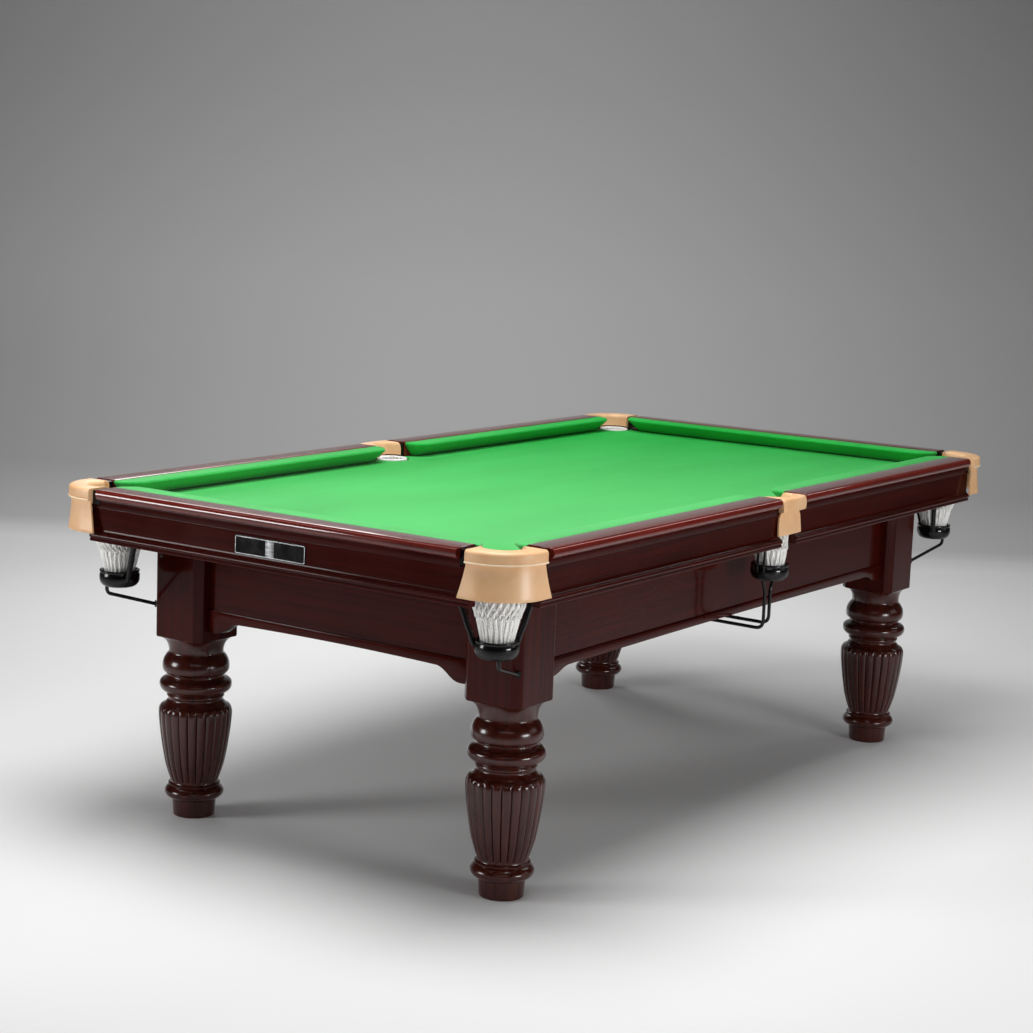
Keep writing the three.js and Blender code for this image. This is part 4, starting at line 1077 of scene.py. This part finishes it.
def bowl_part(pockets, high, cx, cy):
    """The bowl round the net's lower end: a rolled lip, a belly and an open mouth."""
    inner, tall, wall, mouth = pockets.bowl, pockets.collar, 0.008, pockets.mouth
    outer, foot = inner + wall, mouth + 0.0048
    profile = [(inner, high - 0.004), (inner + 0.0008, high - 0.001)]
    profile += arc(inner + wall * 0.55, high - 0.0025, 0.0034, 0.0025, 120, 10, 6)
    profile += [(outer - 0.0005, high - 0.0050), (outer - 0.0018, high - 0.0070)]
    profile += [(outer - 0.0012, high - 0.0090), (outer, high - 0.0125), (outer, high - tall * 0.46)]
    profile += arc(foot - 0.002, high - tall * 0.52, outer - foot + 0.002, tall * 0.48, -4, -88, 9)
    profile += [(mouth, high - tall), (mouth, high - tall * 0.94)]
    profile += [(inner - 0.4 * (inner - mouth), high - tall * 0.66), (inner, high - tall * 0.38)]
    rings = []
    for i in range(56):
        angle = 2 * math.pi * i / 56
        rings.append([Vector((cx + r * math.cos(angle), cy + r * math.sin(angle), z)) for r, z in profile])
    return skin(rings, closed=True)


def iron_part(start, end, top, rear):
    """The pocket iron beside a leather: `start` to `end` along the side, drawn with Y in
    from the outer face. It stops above the fascia's shoulder and runs down behind it."""
    face, high, low = 0.015, top.rail_top - 0.004, top.bed - 0.007
    shoulder = top.rail_top - top.lip - SHOULDER_DROP - 0.0007
    back = top.fascia_inset + FASCIA_THICKNESS + CLEARANCE
    outline = [(face, shoulder), (face, high), (rear, high), (rear, low), (back, low), (back, shoulder)]
    ends = eased_ends(start + CLEARANCE, end - CLEARANCE, outline)
    return skin([[Vector((x, y, z)) for y, z in ring] for x, ring in ends])


class POOLTABLE_OT_holders(bpy.types.Operator):
    """Builds the black iron holders: pocket irons, arms, bowls, rods and post plates."""

    bl_idname = "pool_table.holders"
    bl_label = "Ball holders"

    def execute(self, context):
        top, pockets = context.scene.pool_table_top, context.scene.pool_table_pockets
        base = context.scene.pool_table_base
        corners, middles = pocket_places(top)
        parts = self.corner_holder(top, pockets, base)
        irons = self.corner_irons(top, pockets)
        for tag, place in corners.items():
            fit_piece("ball_holder", "holder", tag, place, parts, ["enamel"], 40)
            fit_piece("pocket_iron", "iron", tag, place, irons, ["enamel"], 40)
        parts = self.middle_holder(top, pockets, base)
        for tag, place in middles.items():
            fit_piece("ball_holder", "holder", tag, place, parts, ["enamel"], 40)
        return {"FINISHED"}

    def corner_irons(self, top, pockets):
        """A bow under the leather's rim and a plate on each side of it."""
        inset, bow = pockets.corner_inset, []
        section, bow_radius = rounded_outline(0.008, 0.011, 0.002), 0.054
        for i in range(37):
            angle = math.radians(-45 - 180 * i / 36)
            away = Vector((math.cos(angle), math.sin(angle), 0))
            centre = Vector((inset, inset, top.bed + 0.0002)) + away * bow_radius
            bow.append([centre + away * u + Vector((0, 0, v)) for u, v in section])
        iron = iron_part(pockets.corner_leather, pockets.corner_end, top, 0.060)
        return [skin(bow), iron, move(iron, lambda p: Vector((p.y, p.x, p.z)))]

    def corner_holder(self, top, pockets, base):
        """Two arms swung outward, the bowl, and a rod to a small plate on the post."""
        net, lip = pockets.corner_inset + pockets.corner_lean, top.bed - pockets.corner_bowl
        foot = lip - pockets.collar
        fit = pockets.bowl + 0.0024
        reach = top.outer_x - base.leg_x - base.post - net - 0.014
        levels = [
            (base.frame_top, reach),
            (top.bed - 0.052, reach),
            (top.bed - 0.070, reach - 0.0015),
            (top.bed - 0.086, reach - 0.006),
            (lip + 0.0385, (reach + fit) / 2),
            (lip - 0.004, fit + 0.0061),
            (lip - 0.0189, fit),
        ]
        levels = [(z, out, (net, net)) for z, out in levels]
        parts = [bowl_part(pockets, lip, net, net)]
        swing = math.radians(22)
        for heading in (-swing, math.pi / 2 + swing):
            parts.append(strap_part(levels, heading, 0.014, 0.012))
        cx = top.outer_x - base.leg_x - base.post + base.chamfer / 2
        cy = top.outer_y - base.leg_y - base.post + base.chamfer / 2
        diagonal, sideways = Vector((1, 1, 0)).normalized(), Vector((1, -1, 0)).normalized()
        rod_z = foot - 0.058

        def on_chamfer(across, z, off):
            """A spot over the post's chamfer, off its face toward the pocket."""
            return Vector((cx, cy, z)) + sideways * across - diagonal * off

        start = Vector((net, net, foot + 0.0045)) - diagonal * (pockets.mouth + 0.0024)
        low = Vector((start.x, start.y, foot - 0.018))
        path = rounded_path([start, low, on_chamfer(0.0, rod_z, 0.0037)], 0.012, 10)
        parts.append(tube(path, pockets.rod, 12))
        plate = []
        for off, shrink in ((CLEARANCE, 0.0), (0.0038, 0.0), (0.0048, 0.001)):
            square = rounded_outline(0.013 - shrink, 0.016 - shrink, 0.003)
            plate.append([on_chamfer(u, rod_z + v, off) for u, v in square])
        return parts + [skin(plate)]

    def middle_holder(self, top, pockets, base):
        """Two double-wire arms, the bowl, two plates and two rods under the apron."""
        net, lip = pockets.middle_inset - pockets.middle_lean, top.bed - pockets.middle_bowl
        foot = lip - pockets.collar
        under_rail, under_bed = 0.054, 0.066
        levels = [
            (top.bed - 0.003, 0.0583, (0.0, under_rail)),
            (top.bed - 0.0323, 0.0593, (0.0, under_rail)),
            (top.bed - 0.073, 0.0465, (0.0, under_bed)),
            (top.bed - 0.1085, 0.0445, (0.0, net)),
            (lip, pockets.bowl + 0.004, (0.0, net)),
            (lip - 0.0189, pockets.bowl + 0.0024, (0.0, net)),
        ]
        parts = [bowl_part(pockets, lip, 0.0, net)]
        for heading in (0.0, math.pi):
            for shift in (-0.009, 0.009):
                parts.append(wire_part(levels, heading, shift, 0.003))
        iron = iron_part(pockets.middle_leather, pockets.middle_end, top, 0.066)
        parts += [iron, move(iron, lambda p: Vector((-p.x, p.y, p.z)))]
        apron_back = top.outer_y - base.leg_y - base.post + base.apron_recess + base.apron_thickness
        ring, reach = pockets.mouth + 0.0024, apron_back + 0.150
        for side, under in ((-1, 0.016), (1, 0.006)):
            x, low = side * 0.014, base.apron_bottom - under
            start = Vector((side * ring, under_bed, foot + 0.0045))
            knee, turn = Vector((x, under_bed, foot - 0.030)), Vector((x, under_bed, low))
            corners = [start, knee, turn, Vector((x, reach, low + 0.002))]
            first = rounded_path(corners[:3], 0.008, 5)[:-1]
            second = rounded_path(corners[1:], 0.022, 8)[1:]
            parts.append(tube(first + second, pockets.rod, 12))
        return parts


# ------------------------------------------------------------------ operators: base


def turned_profile():
    """Height and radius up the turned part of a leg, from the floor to the cove."""
    points = [(0.0, 0.0505), (0.0015, 0.0520), (0.020, 0.0532), (0.038, 0.0545), (0.0435, 0.0550)]
    # torus above the foot, fullest low down
    points += [(0.0455, 0.0600), (0.0490, 0.0665), (0.0535, 0.0712), (0.0590, 0.0737), (0.0640, 0.0740)]
    points += [(0.0690, 0.0718), (0.0735, 0.0680), (0.0765, 0.0640)]
    # bead and quirk under the reeds
    points += [(0.0775, 0.0625), (0.0795, 0.0645), (0.0825, 0.0650), (0.0850, 0.0630), (0.0862, 0.0600)]
    points += [(0.0885, 0.0590), (0.0920, 0.0598)]
    # urn
    points += [(0.100, 0.0628), (0.110, 0.0662), (0.122, 0.0700), (0.137, 0.0742), (0.158, 0.0783)]
    points += [(0.179, 0.0820), (0.200, 0.0852), (0.221, 0.0880), (0.241, 0.0902), (0.256, 0.0914)]
    points += [(0.266, 0.0917), (0.272, 0.0913), (0.277, 0.0900), (0.2815, 0.0875)]
    points += [(0.2845, 0.0840), (0.2860, 0.0800)]
    # shoulder, collar and its bead
    points += [(0.2890, 0.0765), (0.2925, 0.0735), (0.2960, 0.0710), (0.2985, 0.0690), (0.3020, 0.0680)]
    points += [(0.3050, 0.0690), (0.3075, 0.0712), (0.3100, 0.0718), (0.3125, 0.0710), (0.3145, 0.0695)]
    # lower ring
    points += [(0.3165, 0.0705), (0.3190, 0.0760), (0.3225, 0.0820), (0.3275, 0.0868), (0.3335, 0.0895)]
    points += [(0.3400, 0.0902), (0.3450, 0.0890), (0.3490, 0.0862), (0.3520, 0.0820), (0.3540, 0.0775)]
    # hollow between the rings
    points += [(0.3555, 0.0745), (0.3585, 0.0715), (0.3615, 0.0700), (0.3640, 0.0700), (0.3655, 0.0715)]
    # upper ring, widest near its lower edge
    points += [(0.3675, 0.0755), (0.3710, 0.0795), (0.3755, 0.0822), (0.3815, 0.0835), (0.3880, 0.0835)]
    points += [(0.3950, 0.0825), (0.4020, 0.0802), (0.4080, 0.0770), (0.4130, 0.0735), (0.4165, 0.0705)]
    points += [(0.4190, 0.0685), (0.4220, 0.0680)]
    return points


def smooth_profile(points, step):
    """Resamples a profile with a curve through its points."""
    dense = []
    padded = points[:1] + points + points[-1:]
    for p0, p1, p2, p3 in zip(padded, padded[1:], padded[2:], padded[3:]):
        parts = max(1, round(math.hypot(p2[0] - p1[0], p2[1] - p1[1]) / step))
        for j in range(parts):
            t = j / parts
            row = []
            for a, b, c, d in zip(p0, p1, p2, p3):
                bend, twist = 2 * a - 5 * b + 4 * c - d, 3 * b - a - 3 * c + d
                row.append(0.5 * (2 * b + (c - a) * t + bend * t * t + twist * t ** 3))
            dense.append(tuple(row))
    dense.append(points[-1])
    return dense


class POOLTABLE_OT_legs(bpy.types.Operator):
    """Turns the four legs: square posts, rings, reeded urns and round feet."""

    bl_idname = "pool_table.legs"
    bl_label = "Legs"

    def execute(self, context):
        base = context.scene.pool_table_base
        reeds, per_reed = 24, 10
        count = reeds * per_reed
        post, chamfer = base.post, base.chamfer

        def square_reach(angle):
            """Leg axis to the post's face at an angle, with the corners cut off."""
            c, s = abs(math.cos(angle)), abs(math.sin(angle))
            return min(post / max(c, 1e-9), post / max(s, 1e-9), (2 * post - chamfer) / (c + s))

        def reed_cut(z, step):
            """How deep the groove beside a reed is, fading out at both ends of the urn."""
            across = abs((step % per_reed) / per_reed - 0.5) * 2
            rise = (z - 0.0905) / 0.012
            fall = (0.2845 - 0.004 * across - z) / 0.010
            reach = max(0.0, min(1.0, rise, fall))
            reach = math.sqrt(reach * (2 - reach))
            return base.reed_depth * reach * (1 - math.sqrt(max(0.0, 1 - across ** 2.4)))

        def ring(z, reach):
            """One section of the leg; reach(step, angle) gives its outline."""
            angles = [2 * math.pi * j / count for j in range(count)]
            reaches = [reach(j, angle) for j, angle in enumerate(angles)]
            return [(r * math.cos(a), r * math.sin(a), z) for r, a in zip(reaches, angles)]

        # the foot's hollow, with the bore that the levelling foot screws into
        hollow = [(0.0720, 0.0095), (0.0140, 0.0095), (0.0140, 0.0255), (0.0, 0.0255)]
        stack = [ring(z, lambda j, a: radius) for z, radius in hollow]
        for z, radius in smooth_profile(turned_profile(), 0.0022):
            stack.append(ring(z, lambda j, a: radius - reed_cut(z, j)))
        # cove from the round neck to the square post
        neck, low, high = 0.068, 0.4225, 0.4630
        for i in range(1, 13):
            t = i / 12
            share = 1 - math.sqrt(max(0.0, 1 - t ** 2.2))
            z = low + (high - low) * t * 0.93
            stack.append(ring(z, lambda j, a: neck + (square_reach(a) - 0.0015 - neck) * share))
        for z, shrink in ((high - 0.001, 0.0003), (high, 0.0), (base.frame_top, 0.0)):
            stack.append(ring(z, lambda j, a: square_reach(a) - shrink))
        leg = skin(stack)
        for tag, (sx, sy) in CORNERS.items():
            middle = Vector((sx * base.leg_x, sy * base.leg_y, 0))
            woods = ["wood_z", "turned"]
            place = lambda p: p + middle
            made = fit_piece("turned_leg", "leg", tag, place, [leg], woods, 42)
            for face in made.data.polygons:
                face.material_index = 1 if face.center.z < high - 0.004 else 0
            finish_node(f"leveller_{tag}", "zinc")
        return {"FINISHED"}


class POOLTABLE_OT_aprons(bpy.types.Operator):
    """Builds the four aprons with their raised lower band and shaped ears."""

    bl_idname = "pool_table.aprons"
    bl_label = "Aprons"

    def execute(self, context):
        base = context.scene.pool_table_base

        def lower_edge(half, ear):
            """The apron's lower edge from its middle to its end: a shallow arch, then an ear."""
            start, flat = half - base.ear_length, 0.024
            bottom, drop = base.apron_bottom, base.apron_bottom - ear
            edge = []
            for i in range(12):
                x = start * i / 12
                edge.append((x, bottom + 0.004 * (1 - (x / start) ** 2)))
            a, d = start, half - flat
            b, c = start + 0.45 * (base.ear_length - flat), start + 0.55 * (base.ear_length - flat)
            for i in range(21):
                t = i / 20
                x = a * (1 - t) ** 3 + 3 * b * t * (1 - t) ** 2 + 3 * c * t * t * (1 - t) + d * t ** 3
                edge.append((x, bottom - drop * t * t * (3 - 2 * t)))
            edge.append((half, ear))
            return edge

        def board(half, ear, place):
            """A plain board and the raised band along its lower edge."""
            edge = lower_edge(half, ear)
            lower = [(-x, z) for x, z in reversed(edge[1:])] + edge
            band_top = base.apron_bottom + base.band
            thick = base.apron_thickness
            panel = slab(lower + [(half, base.frame_top), (-half, base.frame_top)], place, 0.0, thick)
            outline = lower + [(half, band_top), (-half, band_top)]
            band = slab(outline, place, thick * 0.5, thick + BAND_PROUD, bevel=0.0022)
            return [panel, band]

        thick = base.apron_thickness
        face_x = base.leg_x + base.post - base.apron_recess
        face_y = base.leg_y + base.post - base.apron_recess
        half_x, half_y = base.leg_x - base.post - CLEARANCE, base.leg_y - base.post - CLEARANCE
        for tag, sy in (("front", -1), ("rear", 1)):
            place = lambda u, v, h, sy=sy: (u, sy * (face_y - thick + h), v)
            parts = board(half_x, base.ear_long, place)
            make_piece(f"apron_board_{tag}", parts, ["wood_x"], [f"apron_{tag}"], 30)
        for tag, sx in (("left", -1), ("right", 1)):
            place = lambda u, v, h, sx=sx: (sx * (face_x - thick + h), u, v)
            parts = board(half_y, base.ear_short, place)
            make_piece(f"apron_board_{tag}", parts, ["wood_y"], [f"apron_{tag}"], 30)
        return {"FINISHED"}


class POOLTABLE_OT_name_plate(bpy.types.Operator):
    """Fits the bare name plate: black fields, a plain strip between them and a thin border."""

    bl_idname = "pool_table.name_plate"
    bl_label = "Name plate"

    def execute(self, context):
        low, high = PLATE
        face, middle = high.x, (low.z + high.z) / 2
        half_w, half_h = (high.y - low.y) / 2, (high.z - low.z) / 2
        outer, inner, lift, proud = 0.0015, 0.0035, 0.0012, 0.0019

        def outline(inset, radius):
            return rounded_outline(2 * (half_w - inset), 2 * (half_h - inset), radius, 6)

        place = lambda u, v, h: (face - h, u, middle + v)
        field = slab(outline(0.0, 0.005), place, 0.0, 0.0014)
        border = []
        for (ux, vx), (ui, vi) in zip(outline(outer, 0.0042), outline(inner, 0.003)):
            inner_edge = [place(ui, vi, proud), place(ui, vi, lift)]
            border.append([place(ux, vx, lift), place(ux, vx, proud)] + inner_edge)
        strip = slab(rounded_outline(0.025, 0.038, 0.0008, 6), place, lift, 0.0018, bevel=0.0003)
        parts = [field + (0,), skin(border, closed=True) + (1,), strip + (1,)]
        make_piece("name_plate_blank", parts, ["enamel", "silver"], ["name_plate"], 30)
        return {"FINISHED"}


# ------------------------------------------------------------------ operators: stage


class POOLTABLE_OT_stage(bpy.types.Operator):
    """Sets the pale floor, the grey backdrop, the soft lights and the camera."""

    bl_idname = "pool_table.stage"
    bl_label = "Stage"

    def execute(self, context):
        scene = context.scene
        scene.view_settings.view_transform = "Standard"
        yaw = math.radians(34.55)
        self.camera(scene, yaw, math.radians(9.09), math.radians(-2.21))
        self.sweep(scene, yaw)
        self.lamps(scene)
        world = bpy.data.worlds.new("studio_air")
        world.use_nodes = True
        tree = world.node_tree
        tree.nodes.clear()
        air = add_node(tree, "ShaderNodeBackground", Color=linear("#C8C8C8"), Strength=0.04)
        add_node(tree, "ShaderNodeOutputWorld", in_0=air.outputs[0])
        scene.world = world
        return {"FINISHED"}

    def camera(self, scene, yaw, pitch, roll):
        """A long lens, left of the near corner and a little above the rails."""
        frame_size, focal, sensor = 1033, 2219.55, 36.0
        level = math.cos(pitch)
        heading = Vector((math.cos(yaw) * level, math.sin(yaw) * level, -math.sin(pitch)))
        right = Vector((math.sin(yaw), -math.cos(yaw), 0))
        down = heading.cross(right)
        turned = right * math.cos(roll) + down * math.sin(roll)
        down = down * math.cos(roll) - right * math.sin(roll)
        data = bpy.data.cameras.new("camera")
        data.sensor_width = sensor
        data.lens = focal / frame_size * sensor
        data.clip_end = 200
        camera = bpy.data.objects.new("camera", data)
        axes = Matrix((turned, -down, -heading)).transposed().to_4x4()
        camera.matrix_world = Matrix.Translation((-4.96667, -3.24962, 1.65937)) @ axes
        scene.collection.objects.link(camera)
        scene.camera = camera

    def paper(self):
        # Seamless paper sweep: matt, pale on the floor and grey up the wall, darkening toward the top;
        # the grey is painted shade standing in for the light falling off up the wall.
        made, tree = new_material("matt_paper_sweep")
        where = add_node(tree, "ShaderNodeTexCoord").outputs["Object"]
        height = add_node(tree, "ShaderNodeSeparateXYZ", in_0=where).outputs[2]
        # painted shade: pale at the floor, grey from the foot of the cove and darker higher up
        greys = [(0.0, "#E9E9E9"), (0.006, "#C0C0C0"), (0.05, "#A9A9A9"), (0.25, "#A6A6A6")]
        greys += [(0.5, "#979797"), (1.0, "#7C7C7C")]
        share = graded(tree, height, 0.0, 1.0, 0.0, 4.0)
        tooth = add_node(tree, "ShaderNodeTexNoise", in_0=where, Scale=300.0, Detail=2.0).outputs[0]
        matt = add_node(
            tree,
            "ShaderNodeBsdfPrincipled",
            Base_Color=ramp(tree, share, [(stop, linear(grey)) for stop, grey in greys]),
            Roughness=0.9,
            Specular_IOR_Level=0.1,
            Normal=dented(tree, tooth, 0.02, 0.001),
        ).outputs[0]
        # The paper has no back, so the table can be seen from behind the sweep and from below.
        back = add_node(tree, "ShaderNodeNewGeometry").outputs["Backfacing"]
        clear = add_node(tree, "ShaderNodeBsdfTransparent").outputs[0]
        both = add_node(tree, "ShaderNodeMixShader", in_0=back, in_1=matt, in_2=clear)
        add_node(tree, "ShaderNodeOutputMaterial", in_0=both.outputs[0])
        return made

    def sweep(self, scene, yaw):
        """Floor, cove and wall in one sheet, square to the camera's heading."""
        ahead = Vector((math.cos(yaw), math.sin(yaw), 0))
        across = Vector((math.sin(yaw), -math.cos(yaw), 0))
        front, wall, cove, tall, half = -14.0, 3.4, 2.2, 9.0, 16.0
        profile = [(front, 0.0), (wall, 0.0)] + arc(wall, cove, cove, cove, -90, 0, 16)[1:]
        profile.append((wall + cove, tall))
        points = [ahead * along + across * u for u in (-half, half) for along, _ in profile]
        heights = [z for _, z in profile] * 2
        verts = [(point.x, point.y, z) for point, z in zip(points, heights)]
        count = len(profile)
        faces = [(i, count + i, count + i + 1, i + 1) for i in range(count - 1)]
        mesh = bpy.data.meshes.new("paper_sweep")
        mesh.from_pydata(verts, [], faces)
        mesh.shade_smooth()
        MATERIALS["paper"] = self.paper()
        mesh.materials.append(MATERIALS["paper"])
        sweep = bpy.data.objects.new("paper_sweep", mesh)
        scene.collection.objects.link(sweep)

    def lamps(self, scene):
        """Soft lights; the strips draw the long highlights on the rails and the legs."""

        def softbox(name, place, target, width, height, power, spread=180):
            lamp = bpy.data.lights.new(name, "AREA")
            lamp.shape = "RECTANGLE"
            lamp.size, lamp.size_y = width, height
            lamp.energy = power
            lamp.spread = math.radians(spread)
            made = bpy.data.objects.new(name, lamp)
            made.location = place
            aim = Vector(target) - Vector(place)
            made.rotation_euler = aim.to_track_quat("-Z", "Y").to_euler()
            made.visible_camera = False
            scene.collection.objects.link(made)

        softbox("overhead_softbox", (-1.1, -0.3, 3.2), (-0.8, -0.2, 0.8), 2.2, 1.6, 45, 130)
        softbox("room_softbox", (0.0, 0.0, 3.8), (0.0, 0.0, 0.8), 3.2, 2.2, 49)
        softbox("backdrop_softbox", (1.2, 1.2, 4.0), (3.9, 4.2, 0.5), 2.6, 1.4, 72, 130)
        softbox("right_softbox", (2.4, -4.4, 2.0), (0.2, -0.6, 0.4), 2.4, 1.6, 10)
        softbox("left_softbox", (-4.0, 2.8, 1.3), (-1.2, -0.1, 0.6), 1.2, 1.2, 32, 120)
        softbox("rear_softbox", (1.9, 3.0, 2.4), (0.3, 0.6, 0.6), 1.4, 0.8, 7, 110)
        softbox("low_strip", (-0.6, -4.8, 0.9), (-0.9, 0.0, 0.5), 1.6, 0.5, 76)
        softbox("near_strip", (-4.2, -2.6, 2.8), (-1.2, -0.6, 0.6), 3.2, 0.3, 8)
        softbox("side_rail_strip", (2.9, -1.2, 2.9), (2.9, -0.7, 0.85), 3.0, 0.2, 12)
        softbox("end_rail_strip", (-1.7, 1.7, 3.3), (-1.24, 1.7, 0.85), 1.6, 0.2, 6)


# ------------------------------------------------------------------ panel and registration

PIECES = (
    POOLTABLE_OT_rails,
    POOLTABLE_OT_fascias,
    POOLTABLE_OT_cushions,
    POOLTABLE_OT_bed,
    POOLTABLE_OT_leathers,
    POOLTABLE_OT_nets,
    POOLTABLE_OT_holders,
    POOLTABLE_OT_legs,
    POOLTABLE_OT_aprons,
    POOLTABLE_OT_name_plate,
    POOLTABLE_OT_stage,
)
GROUPS = {
    "pool_table_top": TableTopSizes,
    "pool_table_pockets": PocketSizes,
    "pool_table_base": BaseSizes,
    "pool_table_colours": FinishColours,
}


class POOLTABLE_PT_builder(bpy.types.Panel):
    """Lists the table's pieces and their sizes."""

    bl_idname = "POOLTABLE_PT_builder"
    bl_label = "Pool table"
    bl_space_type = "VIEW_3D"
    bl_region_type = "UI"
    bl_category = "Pool table"

    def draw(self, context):
        layout = self.layout
        for piece in PIECES:
            layout.operator(piece.bl_idname)
        for key, group in GROUPS.items():
            section = layout.box()
            for field in group.__annotations__:
                section.prop(getattr(context.scene, key), field)


def register():
    """Adds the size groups, the operators and the panel."""
    for group in GROUPS.values():
        bpy.utils.register_class(group)
    for key, group in GROUPS.items():
        setattr(bpy.types.Scene, key, bpy.props.PointerProperty(type=group))
    for piece in PIECES:
        bpy.utils.register_class(piece)
    bpy.utils.register_class(POOLTABLE_PT_builder)


def unregister():
    """Takes them away again, in the other order."""
    bpy.utils.unregister_class(POOLTABLE_PT_builder)
    for piece in reversed(PIECES):
        bpy.utils.unregister_class(piece)
    for key in GROUPS:
        delattr(bpy.types.Scene, key)
    for group in reversed(list(GROUPS.values())):
        bpy.utils.unregister_class(group)


def main():
    """Builds every piece on the frame."""
    register()
    make_materials(bpy.context.scene.pool_table_colours)
    for piece in PIECES:
        area, name = piece.bl_idname.split(".")
        getattr(getattr(bpy.ops, area), name)()


if __name__ == "__main__":
    main()
